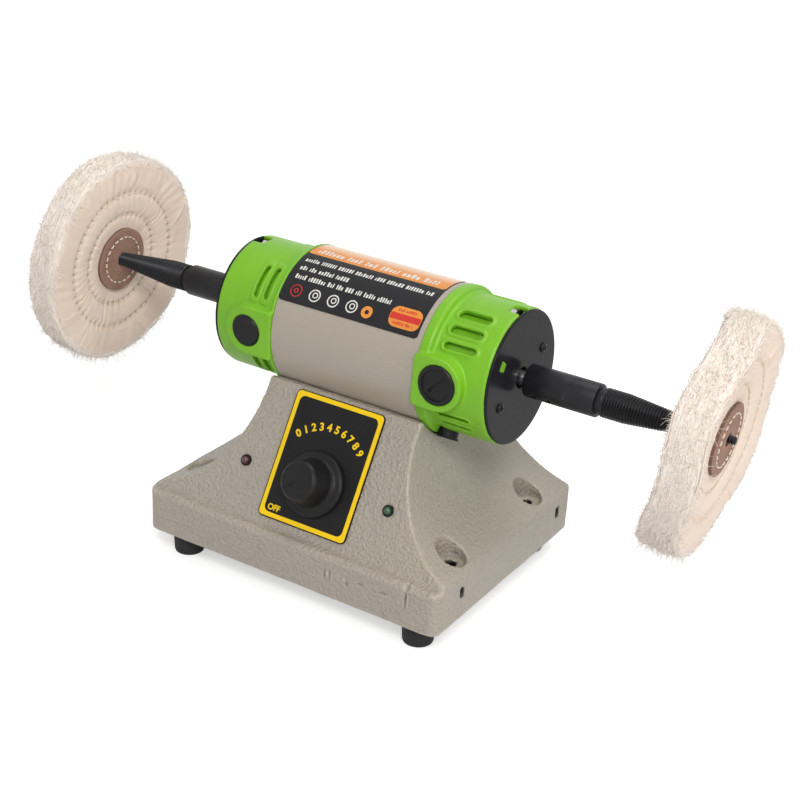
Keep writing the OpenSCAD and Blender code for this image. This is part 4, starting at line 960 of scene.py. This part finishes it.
def blocks(angle, height, start, end, rng, low=LABEL_FACE):
    """A line of small generic blocks in groups, which carries no words"""
    made, x, scale = [], start, height / BLOCK_SIZE
    while x < end:
        for _ in range(int(rng.integers(3, 8))):
            width = float(rng.uniform(0.5, 1.1)) * scale
            if x + width > end:
                return made
            top = math.degrees(height * MM / CASING_R) * float(rng.choice([0.72, 1.0, 1.0]))
            made.append(patch("block", (angle, angle + top), (x, x + width), 0.15, low,
                              low + MARK, 1, 1))
            x += width + 0.5 * scale
        x += 1.1 * scale
    return made


def make_label():
    """The plain label on the casing, with marks that say nothing"""
    face, lifted = LABEL_FACE, LABEL_FACE + PRINT

    def printed(name, meshes, paint):
        piece(name, joined(name, meshes), paint, "machine", "label_print")

    plate = patch("label", LABEL_ANGLES, LABEL_ENDS, 2.2, LABEL_BACK, face, 16, 2)
    piece("label_plate", plate, "label_plate", "machine", "label_print", "rating_plate")
    printed("label_band", [
        patch("band", (-10.8, LABEL_ANGLES[1] - 0.5), (LABEL_ENDS[0] + 0.5, LABEL_ENDS[1] - 0.5),
              1.8, face, lifted, 8, 2),
        patch("sticker", (-54.2, -37.4), (23.0, 42.0), 4.4, face, lifted, 4, 2),
        round_mark(9.5, -49.5, 3.4, 1.3)], "orange_print")

    rng = np.random.default_rng(12)
    white = blocks(-21.3, 2.9, -42.5, 39.8, rng) + blocks(-30.4, 2.9, -42.0, -9.2, rng)
    white += blocks(-38.8, 2.9, -41.5, 20.6, rng) + blocks(-7.6, 4.6, -41.0, 37.5, rng, lifted)
    for x in (-24.5, -12.5, -0.5):
        white += [round_mark(x, -48.6, 3.6, 2.9), round_mark(x + 0.3, -48.3, 1.7, 1.1)]
    printed("label_marks", white, "white_print")
    red = [round_mark(-36.7, -48.6, 3.6, 3.1), round_mark(-36.7, -48.6, 1.4, 0.9),
           patch("stripe", (-48.4, -43.2), (23.3, 41.7), 0.3, lifted, lifted + PRINT, 1, 4)]
    for angle in (-41.6, -52.2):
        red += blocks(angle, 1.7, 26.5, 38.5, rng, lifted)
    printed("label_red_mark", red, "red_print")


def make_motor():
    """The end housings, the cover discs, the casing and the screws"""
    for part, name, paint, grid, passes, keep in (
            ("_end_housing", "_moulding", "green_plastic", 0.62, 3, 0.5),
            ("_end_disc", "_cover_disc", "disc_plastic", 0.45, 2, 0.3)):
        for word in SIDES.values():
            placed(softened(word + part, word + name, grid * MM, passes, keep), paint, "machine",
                   paint, word + part)

    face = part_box("right_end_disc")[1].x
    start, end = VENT_ENDS
    ribs = []
    for side in SIDES:
        ribs.append(slab("lug", 5.2 * MM, 5.2 * MM, 0.5 * MM, 3 * MM, lambda u, v, h, s=side:
                         on_motor(s * (face - LUG_BACK * MM + h), 58 + math.degrees(u / WINDOW_R),
                                  WINDOW_R + v)))
        for low, high in VENTS:
            middle, wide = math.radians((low + high) / 2), math.radians(high - low)
            ribs.append(slab(
                "rib", end - start, wide * VENT_BACK_R, 0.0, 0.8 * MM,
                lambda u, v, h, s=side, m=middle: on_motor(
                    s * (start + end) / 2 + u, math.degrees(m - v / VENT_BACK_R), VENT_BACK_R + h),
                2, 12))
    piece("vent_ribs", joined("vent_ribs", ribs), "green_plastic", "machine", "green_plastic")

    inner, outer, edge = CASING_BORE_R, CASING_R / MM, CASING_EDGE
    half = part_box("motor_casing")[1].x / MM
    tube = turned("tube", [
        (inner, -half), (outer - edge, -half), (outer, edge - half), (outer, half - edge),
        (outer - edge, half), (inner, half), (inner, -half)],
        lambda x, y, z: Vector((z, AXIS_Y + y, AXIS_Z + x)), 192, 30)
    piece("painted_casing", tube, "casing_paint", "machine", "casing_paint", "motor_casing")

    head = turned("head", SCREW_HEAD, lambda *point: Vector(point), 32, 35)
    head = recessed(head, 3.0 * MM, 0.62 * MM, 1.7 * MM, 1.0 * MM)
    spots = [(on_motor(side * face, angle, 24 * MM), (side, 0, 0))
             for side in SIDES for angle in (114, 294)]
    placed(repeated("cover_screws", head, spots, "black_steel"), "black_steel", "machine",
           "zinc_steel", "disc_screws")


def recessed(head, length, width, top, depth):
    """Cuts a crossed recess into a screw head that faces up"""
    made = linked("recessed_head", head)
    cut_out(made, [slab("cutter", length, width, 0.0, 2 * depth, lambda u, v, h, t=turn: Vector((
        u * math.cos(t) - v * math.sin(t), u * math.sin(t) + v * math.cos(t), top - depth + h)))
        for turn in (0.0, math.pi / 2)])
    mesh = made.data
    bpy.data.objects.remove(made)
    return mesh


def spindle_mesh(name, side):
    """A sleeve, a neck and a tapered screw with a real helical thread of its side's hand"""
    sizes = bpy.context.scene.polisher_sizes
    pitch, depth = sizes.thread_pitch / MM, sizes.thread_depth / MM
    columns = 60
    turns = np.arange(columns) / columns
    bottom = SLEEVE + SLEEVE_BORE
    rows = [(bottom, SLEEVE_BORE_R), (SLEEVE, SLEEVE_BORE_R), (SLEEVE, 8.1), (SLEEVE + 0.3, 8.7),
            (SLEEVE + 0.9, SLEEVE_R), (NECK - 22, SLEEVE_R), (NECK - 0.8, SLEEVE_R),
            (NECK - 0.25, 8.75), (NECK, 8.2), (NECK + 0.1, NECK_R), (SCREW - 0.1, NECK_R)]
    step = pitch / 6
    for i in range(int((TIP - SCREW - 0.4) / step) + 1):
        x = SCREW + i * step
        full = SCREW_R + (TIP_R - SCREW_R) * max(0.0, (x - TAPER) / (TIP - TAPER))
        wave = np.abs(2 * ((x / pitch - side * turns) % 1.0) - 1)
        groove = np.clip(wave * 1.5 - 0.3, 0, 1)
        near = min(1.0, (x - SCREW) / 1.2, (TIP - x) / 1.5)
        rows.append((x, full - 0.05 - depth * groove * max(near, 0.15)))
    rows.append((TIP - 0.3, 1.7))
    points = [(side * bottom * MM, AXIS_Y, AXIS_Z)]
    for x, radii in rows:
        for turn, radius in zip(2 * math.pi * turns, np.broadcast_to(radii, columns)):
            points.append((side * x * MM, AXIS_Y + radius * MM * math.sin(turn),
                           AXIS_Z + radius * MM * math.cos(turn)))
    points.append((side * TIP * MM, AXIS_Y, AXIS_Z))
    faces, last = ringed(len(rows), columns, 1, closed=False), len(points) - 1
    for k in range(columns):
        m = (k + 1) % columns
        faces += [(0, 1 + m, 1 + k), (last, last - columns + k, last - columns + m)]
    return mesh_of(name, points, faces, 50)


def make_spindles():
    """The two spindles, with the holes of their set screws"""
    for side, word in SIDES.items():
        name = word + "_screw_spindle"
        made = linked(name, spindle_mesh(name, side))
        bore = ((0, 6), (SET_SCREW_R, 6), (SET_SCREW_R, 10), (0, 10))
        holes = [turned("hole", bore, lambda u, v, w, x=side * x * MM: on_motor(
            x + u, SET_SCREW_ANGLE + math.degrees(v / max(w, 1e-6)), w), 24, 40)
            for x in SET_SCREWS]
        cut_out(made, holes)
        tidied(made.data, 50, recalculate=False)
        placed(made, "black_steel", "rotor", "black_steel", word + "_spindle")


# Cloth wheels, in millimetres

def waves(rng, angles, low, high, power=0.6):
    """A smooth random wave round a circle, between -1 and 1"""
    total = np.zeros_like(angles)
    for k in range(low, high + 1):
        total += rng.normal() * np.cos(k * angles + rng.uniform(0, 2 * math.pi)) / k ** power
    return total / np.abs(total).max()


def bell(values, middle, width):
    """1 at a middle, and less away from it"""
    return np.exp(-((values - middle) / width) ** 2)


def rise(values, start, reach):
    """0 up to a start and 1 from its reach on, which is below 0 where the values fall"""
    return np.clip((values - start) / reach, 0, 1)


def flop(radius):
    """The share of the rim's flop that a radius takes part in"""
    return rise(radius, 26, 37) ** 1.7


def wrapped(angles):
    """Angles brought between half a turn back and half a turn on"""
    return (angles + math.pi) % (2 * math.pi) - math.pi


def circle(columns):
    """Even angles round a circle"""
    return 2 * math.pi * np.arange(columns) / columns


def cloth_face(rng, angles, radii, folds):
    """Height of the cloth's face at each radius and angle, and a mask of painted shade in its
    stitch holes and folds
    """
    across, around = np.meshgrid(radii, angles, indexing="ij")
    height = np.interp(across, FACE_R, FACE_Z)
    crease = np.zeros_like(height)
    for seam, count in STITCH_RINGS:
        between = 0.5 + 0.5 * np.cos(count * around)
        height -= (0.2 + 0.4 * between) * bell(across, seam, 3.6)
        height -= 0.6 * bell(across, seam, 0.9) * between ** 10
        # Painted shade in each stitch hole, and a faint band of it along the seam
        crease += bell(across, seam, 0.8) * between ** 14
        crease += 0.04 * bell(across, seam, 1.6)
    inner = rise(across, 20, 5) * rise(across, 47, -4)
    gathers = np.abs(waves(rng, around + 0.012 * np.sin(across * 0.6), 16, 54, 0.2))
    height += 0.55 * inner * (0.3 - gathers)
    height += rise(across, 43, 6) * (
        0.35 * waves(rng, around + 0.006 * (across - 50), 14, 60, 0.3)
        + 0.5 * waves(rng, around, 4, 12, 0.4))
    faint = [(rng.uniform(0, 360), rng.uniform(-0.012, 0.012), rng.uniform(0.2, 0.5),
              rng.uniform(1.2, 3.0)) for _ in range(18)]
    for start, slant, depth, width in (*folds, *faint):
        away = wrapped(around - math.radians(start) - slant * (across - 44))
        shown = rise(across, rng.uniform(41, 47), 6) * (1 - 0.75 * rise(across, 56, 5))
        sharp = np.where(away > 0, width, 0.35 * width)
        height += depth * np.exp(-np.abs(away * across) / sharp) * shown
        # Painted shade along the fold's line
        crease += 0.14 * depth * bell(np.abs(away * across), 0, 0.35 * width) * shown
    for _ in range(140):
        middle, start = rng.uniform(22, 60), rng.uniform(0, 2 * math.pi)
        away = wrapped(around - start)
        size = rng.uniform(1.2, 4.0)
        height += rng.uniform(-0.3, 0.3) * np.exp(-((across - middle) / (size * 1.8)) ** 2
                                                   - (away * middle / size) ** 2)
    return height, np.clip(crease, 0, 1)


def make_wheel(side, seed):
    """A stitched stack of cotton discs with leather on both faces and a frayed rim"""
    sizes = bpy.context.scene.polisher_sizes
    word = SIDES[side]
    rng = np.random.default_rng(seed)
    place = np.array(wheel_place(side))
    columns = 480
    angles = circle(columns)
    limp = (sizes.right_sway if side > 0 else sizes.left_sway) / MM
    up, ahead = WHEEL_BENDS[side]
    sway = limp * waves(rng, angles, 2, 5, 0.9) - up * np.cos(angles) - ahead * np.sin(angles)
    swell = RIM_HALVES[side] / 9 * (1 + 0.06 * waves(rng, angles, 3, 9))

    def to_world(radius, turn, along):
        local = np.stack([radius * np.cos(turn), radius * np.sin(turn), along], axis=-1) * MM
        return local @ place[:3, :3].T + place[:3, 3]

    def swayed(radius, along):
        return along * swell ** rise(radius, 40, 20) + sway * flop(radius)

    radii = np.concatenate([np.linspace(3.9, 20, 5), np.linspace(20.8, 61, 58),
                            [CORE_R, 62.2]])
    front, front_crease = cloth_face(rng, angles, radii, FOLDS[side])
    back, back_crease = cloth_face(rng, angles, radii, FOLDS[-side])
    rows, crease, frayed = [], [], []
    edges = [(radii, front, front_crease, 1), (radii[::-1], back[::-1], back_crease[::-1], -1)]
    for reach, height, dark, way in edges:
        for i, radius in enumerate(reach):
            rows.append(to_world(radius, angles, swayed(radius, way * height[i])))
            crease.append(dark[i])
            frayed.append(np.full(columns, np.clip((radius - 57.5) / 6, 0, 0.7)))
        if way > 0:
            for k, z in enumerate(np.linspace(CORE_HALF, -CORE_HALF, 13)):
                radius = CORE_R + 0.5 * waves(rng, angles, 10, 90, 0.3) + 0.35 * (-1) ** k
                rows.append(to_world(radius, angles, swayed(62.0, z)))
                # A faint, even painted shade on the stack's edge
                crease.append(np.full(columns, 0.02))
                frayed.append(np.full(columns, 0.8))
    mesh = raw_mesh(word + "_cotton", np.concatenate(rows).tolist(), ringed(len(rows), columns))
    attributed(mesh, crease=np.concatenate(crease), frayed=np.concatenate(frayed))
    piece(word + "_cotton_stack", tidied(mesh), "cotton_cloth", "rotor", "stitched_cloth",
          word + "_cloth_wheel")
    make_rim(word, seed, rng, RIM_HALVES[side], (angles, sway), to_world)
    make_leather(word, rng, to_world)
    make_stitches(side, seed)


def make_rim(word, seed, rng, half_rim, sway, to_world):
    """The cloth's loose plies and their frayed ends"""
    sizes = bpy.context.scene.polisher_sizes
    columns = 320
    turns = circle(columns)
    coarse = np.interp(turns, *sway, period=2 * math.pi)
    points, faces = [], []
    steps = (0.0, 0.3, 0.6, 0.85, 1.0)
    profile = [(t, PLY_HALF) for t in steps] + [(t, -PLY_HALF) for t in reversed(steps)]
    for k in range(sizes.plies):
        level = (half_rim - 0.8) * (2 * (k + 0.5) / sizes.plies - 1)
        reach = PLY_R + 0.7 * waves(rng, turns, 6, 40, 0.3) + 0.4 * waves(rng, turns, 60, 150, 0.0)
        own = 0.9 * waves(rng, turns, 6, 24, 0.4) + 0.35 * waves(rng, turns, 30, 80, 0.2)
        faces += ringed(len(profile), columns, len(points))
        for t, half in profile:
            radius = PLY_START + (reach - PLY_START) * t
            along = level * (1 + 0.08 * t) + own * t ** 1.5 + half + coarse * flop(radius)
            points.extend(to_world(radius, turns, along).tolist())
    mesh = raw_mesh(word + "_plies", points, faces)
    attributed(mesh, crease=0.0, frayed=0.7)
    piece(word + "_frayed_plies", tidied(mesh), "cotton_cloth", "rotor", "stitched_cloth")

    strips = [(59.0, 0.2), (60.8, 0.1), (61.7, -0.2)]
    strips = ([(radius, half_rim + more) for radius, more in strips]
              + [(62.1, z) for z in np.linspace(half_rim - 0.7, 0.7 - half_rim, 11)]
              + [(radius, -half_rim - more) for radius, more in reversed(strips)])
    points = np.concatenate([to_world(np.full(columns, radius), turns, z + coarse * flop(radius))
                             for radius, z in strips]).tolist()
    emitter = raw_mesh(word + "_rim", points, ringed(len(strips), columns, closed=False))
    ends = to_world(np.array([0.0, 100.0]), turns[:1], np.zeros(2))
    if emitter.polygons[6 * columns].normal.dot(Vector(ends[1] - ends[0])) < 0:
        emitter.flip_normals()
    for label, share, stretch, width, lean in FRAYS:
        made = grown(linked(word + "_" + label, emitter.copy()), "Frayed Ends",
                     density=sizes.nap_density * share, length=sizes.nap_length * stretch,
                     width=width, spread=lean, seed=seed + len(label),
                     material=finish("frayed_cotton"))
        made.data.shade_smooth()
        placed(made, "frayed_cotton", "rotor", "stitched_cloth")
    bpy.data.meshes.remove(emitter)


def make_leather(word, rng, to_world):
    """Two leather discs, puckered where they are sewn to the cloth"""
    columns = 200
    angles = circle(columns)
    outline = LEATHER_R + 0.25 * waves(rng, angles, 2, 9, 0.8) - 0.2
    radii = [3.75, 4.2, 6, 8, 10, 12, 13.2, 13.9, 14.4, 14.9, 15.6, 17, 18.4, 19.2, 19.6]
    stitched = np.cos(SEAM_STITCHES * angles)
    points, faces, crease, worn = [], [], [], []
    for face in (1, -1):
        grid = []
        for r in radii:
            share = r / LEATHER_R
            top = HUB_HALF + 0.05 + 2.15 - 0.25 * (r > 19.3) - 0.12 * (r < 3.8)
            pucker = 0.42 * bell(r, SEAM_R, 0.9) * (0.55 + 0.45 * stitched)
            swell = 0.12 * waves(rng, angles, 2, 12) * min(1, share * 1.5)
            # Third value: painted shade in the seam's stitch holes; fourth: paler leather round the
            # bore
            grid.append((outline * share, top - pucker + swell,
                         0.8 * bell(r, SEAM_R, 0.5) * (0.5 + 0.5 * stitched) ** 8,
                         max(0.0, 1 - r / 8.5) * 0.8))
        grid += [(outline, HUB_HALF + 1.6, 0.5, 0.0), (outline - 0.1, HUB_HALF + 0.06, 0.6, 0.0),
                 (LEATHER_BORE, HUB_HALF + 0.06, 0.0, 0.3)]
        faces += ringed(len(grid), columns, len(points))
        for radius, along, dark, pale in grid:
            radius, along, dark, pale = (np.broadcast_to(part, columns)
                                         for part in (radius, along, dark, pale))
            points.extend(to_world(radius, angles, face * along).tolist())
            crease.append(dark)
            worn.append(pale)
    mesh = raw_mesh(word + "_leather", points, faces)
    attributed(mesh, crease=np.concatenate(crease), worn=np.concatenate(worn))
    piece(word + "_leather_discs", tidied(mesh, 50), "split_leather", "rotor", "leather",
          word + "_leather_washers")


def make_stitches(side, seed):
    """White thread through the leather and cotton thread through the cloth, on both faces"""
    word = SIDES[side]
    rings = [(SEAM_R, SEAM_STITCHES, 7.55, 2.5, 0.42, 0.42)] + [
        (seam, count, float(np.interp(seam, FACE_R, FACE_Z)) + 0.05, 3.1, 0.32, 0.4)
        for seam, count in STITCH_RINGS]
    parts = []
    for flip in (0, math.pi):
        for radius, count, height, length, thread, rising in rings:
            holder = grown(linked("ring", raw_mesh("ring", [])), "Ring Of Stitches",
                           stitches=count, ring_radius=radius * MM, height=height * MM,
                           stitch_length=length * MM, thread_radius=thread * MM,
                           rise=rising * MM, unevenness=0.1, seed=seed + count,
                           material=finish("sewing_thread"))
            between = Matrix.Rotation(math.pi / count, 4, "Z")  # between their holes
            holder.data.transform(wheel_place(side) @ Matrix.Rotation(flip, 4, "X") @ between)
            parts.append(holder.data)
            bpy.data.objects.remove(holder)
    piece(word + "_stitches", joined(word + "_stitches", parts), "sewing_thread", "rotor",
          "stitched_cloth")


NODE_FINISHES = {
    "zinc_steel": ("bottom_plate", "foot_screws", "potentiometer", "potentiometer_nut",
                   "board_screws", "through_bolts", "through_nuts", "motor_bolts", "brush_springs"),
    "ground_steel": ("motor_shaft", "left_bearing", "right_bearing", "potentiometer_shaft"),
    "core_steel": ("stator_core", "armature_core"),
    "black_plastic": ("lamp_bezels", "cable_grommet", "wire_plug", "cooling_fan", "brush_caps",
                      "blanking_plugs"),
    "black_steel": ("spindle_set_screws",),
    "circuit_board": ("speed_board",),
    "copper_wire": ("field_coils", "armature_windings"),
    "copper_bars": ("commutator",),
    "brass": ("brush_holders",),
    "carbon": ("carbon_brushes",),
}


def make_finishes():
    """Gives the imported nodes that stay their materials"""
    for name, nodes in NODE_FINISHES.items():
        for node in nodes:
            mesh = NODES[node].data
            for i in range(len(mesh.materials)):
                mesh.materials[i] = finish(name)


# Stage

CAMERA_PLACE = (0.4382, -0.6833, 0.4821)
CAMERA_TURNS = ((31.569, "Z"), (90 - 25.361, "X"), (2.927, "Z"))  # azimuth, elevation, roll
FOCAL_LENGTH, SENSOR = 72.51, 36.0
LAMP_TARGET = (0, 0, 0.1)
LAMPS = {"key": ((0.9, -1.3, 1.6), 0.7, 23), "fill": ((1.7, -0.3, 0.8), 1.0, 7),
         "top": ((0.2, 0.5, 1.9), 1.0, 11)}  # place, size and power
FLOOR_REACH = 6.0


def make_camera():
    """The camera that the photograph was solved for"""
    camera = linked("camera", configured(bpy.data.cameras.new("camera"), lens=FOCAL_LENGTH,
                                         sensor_width=SENSOR))
    place = Matrix.Translation(CAMERA_PLACE)
    for angle, axis in CAMERA_TURNS:
        place = place @ Matrix.Rotation(math.radians(angle), 4, axis)
    camera.matrix_world = place
    bpy.context.scene.camera = camera


def in_mirrors(tree, path):
    """1 for rays that a surface reflects or lets through"""
    return calc(tree, "MAXIMUM", path["Is Glossy Ray"], path["Is Transmission Ray"])


def stage_floor(tree, place):
    """A pale floor that keeps its shadow and is white to the camera and in reflections"""
    path = add(tree, "ShaderNodeLightPath").outputs
    away = add(tree, "ShaderNodeVectorMath", {0: place}, operation="LENGTH").outputs["Value"]
    shown = times(tree, path["Is Camera Ray"], ramped(tree, away, 0.6, 2.0, 0.5, 1.0))
    reflected = times(tree, in_mirrors(tree, path), ramped(tree, away, 0.6, 2.0, 0.15, 0.75))
    return {"Base Color": (0.86, 0.86, 0.86, 1), "Roughness": 0.9, "Emission Color": (1, 1, 1, 1),
            "Emission Strength": calc(tree, "ADD", shown, reflected)}


def make_stage():
    """The floor, the camera, the lamps and the white surroundings"""
    reach = FLOOR_REACH
    mesh = raw_mesh("floor", [(-reach, -reach, 0), (reach, -reach, 0), (reach, reach, 0),
                              (-reach, reach, 0)], [(0, 1, 2, 3)])
    mesh.materials.append(material_of("stage_floor", stage_floor))
    linked("floor", mesh)
    make_camera()
    for name, (place, size, power) in LAMPS.items():
        light = configured(bpy.data.lights.new(name, "AREA"), shape="SQUARE", size=size,
                           energy=power)
        way = Vector(LAMP_TARGET) - Vector(place)
        configured(linked(name, light), location=place,
                   rotation_euler=way.to_track_quat("-Z", "Y").to_euler())
    world = configured(bpy.data.worlds.new("studio"), use_nodes=True)
    bpy.context.scene.world = world
    tree = world.node_tree
    tree.nodes.clear()
    path = add(tree, "ShaderNodeLightPath").outputs
    seen = calc(tree, "MAXIMUM", path["Is Camera Ray"], in_mirrors(tree, path))
    sky = first(tree, "ShaderNodeBackground", {"Color": (1, 1, 1, 1),
                                               "Strength": spread(tree, seen, 0.3, 1.0)})
    add(tree, "ShaderNodeOutputWorld", {"Surface": sky})
    bpy.context.scene.view_settings.view_transform = "Standard"


# Sizes and colours that a user would change

class PolisherSizes(bpy.types.PropertyGroup):
    """Sizes of the pieces that are made here"""

    casting_grid: bpy.props.FloatProperty(
        name="Casting softness", description="Grid that rounds off the casting's edges",
        default=0.001, min=0.0006, max=0.003, unit="LENGTH")
    unevenness: bpy.props.FloatProperty(
        name="Casting unevenness", description="How far the casting's skin waves in and out",
        default=0.0006, min=0.0, max=0.002, unit="LENGTH")
    thread_pitch: bpy.props.FloatProperty(
        name="Thread pitch", description="Distance between the screw's threads", default=0.0016,
        min=0.001, max=0.003, unit="LENGTH")
    thread_depth: bpy.props.FloatProperty(
        name="Thread depth", description="Depth of the screw's threads", default=0.0007,
        min=0.0002, max=0.0015, unit="LENGTH")
    plies: bpy.props.IntProperty(
        name="Loose plies", description="Cloth discs whose edges stand out at the rim", default=20,
        min=4, max=24)
    left_sway: bpy.props.FloatProperty(
        name="Left sway", description="How far the left wheel's rim waves from side to side",
        default=0.0013, min=0.0, max=0.005, unit="LENGTH")
    right_sway: bpy.props.FloatProperty(
        name="Right sway", description="How far the right wheel's rim waves from side to side",
        default=0.0034, min=0.0, max=0.005, unit="LENGTH")
    nap_length: bpy.props.FloatProperty(
        name="Fray length", description="Length of the frayed cotton ends", default=0.0046,
        min=0.001, max=0.01, unit="LENGTH")
    nap_density: bpy.props.FloatProperty(
        name="Fray density", description="Frayed ends on a square metre of the rim",
        default=1500000.0, min=10000.0, max=2000000.0)


class PolisherColours(bpy.types.PropertyGroup):
    """Colours of the main finishes"""

    casting: bpy.props.FloatVectorProperty(
        name="Casting", description="Sprayed paint of the base", default=linear(174, 164, 150),
        size=4, min=0.0, max=1.0, subtype="COLOR")
    casing: bpy.props.FloatVectorProperty(
        name="Casing", description="Sprayed paint of the motor's casing",
        default=linear(172, 162, 148), size=4, min=0.0, max=1.0, subtype="COLOR")
    housing: bpy.props.FloatVectorProperty(
        name="Housings", description="Moulded plastic of the motor's ends",
        default=linear(127, 193, 38), size=4, min=0.0, max=1.0, subtype="COLOR")
    cloth: bpy.props.FloatVectorProperty(
        name="Cloth", description="Unbleached cotton of the wheels", default=linear(248, 230, 216),
        size=4, min=0.0, max=1.0, subtype="COLOR")
    nap: bpy.props.FloatVectorProperty(
        name="Frayed cotton", description="Frayed ends round the wheels",
        default=linear(255, 249, 242), size=4, min=0.0, max=1.0, subtype="COLOR")
    leather: bpy.props.FloatVectorProperty(
        name="Leather", description="Leather discs of the wheels", default=linear(158, 124, 107),
        size=4, min=0.0, max=1.0, subtype="COLOR")


class PolisherStage(bpy.types.Operator):
    """Add the floor, the lamps, the sky and the camera"""

    bl_idname = "polisher.stage"
    bl_label = "Stage"

    def execute(self, context):
        make_stage()
        return {"FINISHED"}


class PolisherFinishes(bpy.types.Operator):
    """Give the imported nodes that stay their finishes"""

    bl_idname = "polisher.finishes"
    bl_label = "Node Finishes"

    def execute(self, context):
        make_finishes()
        return {"FINISHED"}


class PolisherBase(bpy.types.Operator):
    """Make the painted casting and its rubber feet"""

    bl_idname = "polisher.base"
    bl_label = "Base"

    def execute(self, context):
        make_base()
        return {"FINISHED"}


class PolisherPanel(bpy.types.Operator):
    """Make the control panel, its printing, the knob and the lamps"""

    bl_idname = "polisher.panel"
    bl_label = "Control Panel"

    def execute(self, context):
        make_panel()
        return {"FINISHED"}


class PolisherLabel(bpy.types.Operator):
    """Make the plain label on the casing"""

    bl_idname = "polisher.label"
    bl_label = "Label"

    def execute(self, context):
        make_label()
        return {"FINISHED"}


class PolisherMotor(bpy.types.Operator):
    """Make the casing, the end housings, the cover discs and their screws"""

    bl_idname = "polisher.motor"
    bl_label = "Motor"

    def execute(self, context):
        make_motor()
        return {"FINISHED"}


class PolisherSpindles(bpy.types.Operator):
    """Make the two tapered spindles with their threads"""

    bl_idname = "polisher.spindles"
    bl_label = "Spindles"

    def execute(self, context):
        make_spindles()
        return {"FINISHED"}


class PolisherWheels(bpy.types.Operator):
    """Make the two stitched cloth wheels with their leather"""

    bl_idname = "polisher.wheels"
    bl_label = "Cloth Wheels"

    def execute(self, context):
        make_wheel(-1, 5)
        make_wheel(1, 23)
        return {"FINISHED"}


class PolisherSidebar(bpy.types.Panel):
    """Lists the polisher's sizes, colours and steps"""

    bl_idname = "VIEW3D_PT_polisher"
    bl_label = "Bench Polisher"
    bl_space_type = "VIEW_3D"
    bl_region_type = "UI"
    bl_category = "Polisher"

    def draw(self, context):
        for group in (context.scene.polisher_sizes, context.scene.polisher_colours):
            box = self.layout.box()
            for name in group.bl_rna.properties.keys():
                if name not in ("rna_type", "name"):
                    box.prop(group, name)
        for step in STEPS:
            self.layout.operator(step.bl_idname)


STEPS = (PolisherStage, PolisherFinishes, PolisherBase, PolisherPanel, PolisherLabel, PolisherMotor,
         PolisherSpindles, PolisherWheels)
CLASSES = (PolisherSizes, PolisherColours, *STEPS, PolisherSidebar)


def register():
    for item in CLASSES:
        bpy.utils.register_class(item)
    bpy.types.Scene.polisher_sizes = bpy.props.PointerProperty(type=PolisherSizes)
    bpy.types.Scene.polisher_colours = bpy.props.PointerProperty(type=PolisherColours)


def unregister():
    del bpy.types.Scene.polisher_colours
    del bpy.types.Scene.polisher_sizes
    for item in reversed(CLASSES):
        bpy.utils.unregister_class(item)


def main():
    register()
    for step in STEPS:
        group, name = step.bl_idname.split(".")
        getattr(getattr(bpy.ops, group), name)()
    bpy.context.view_layer.update()


if __name__ == "__main__":
    main()
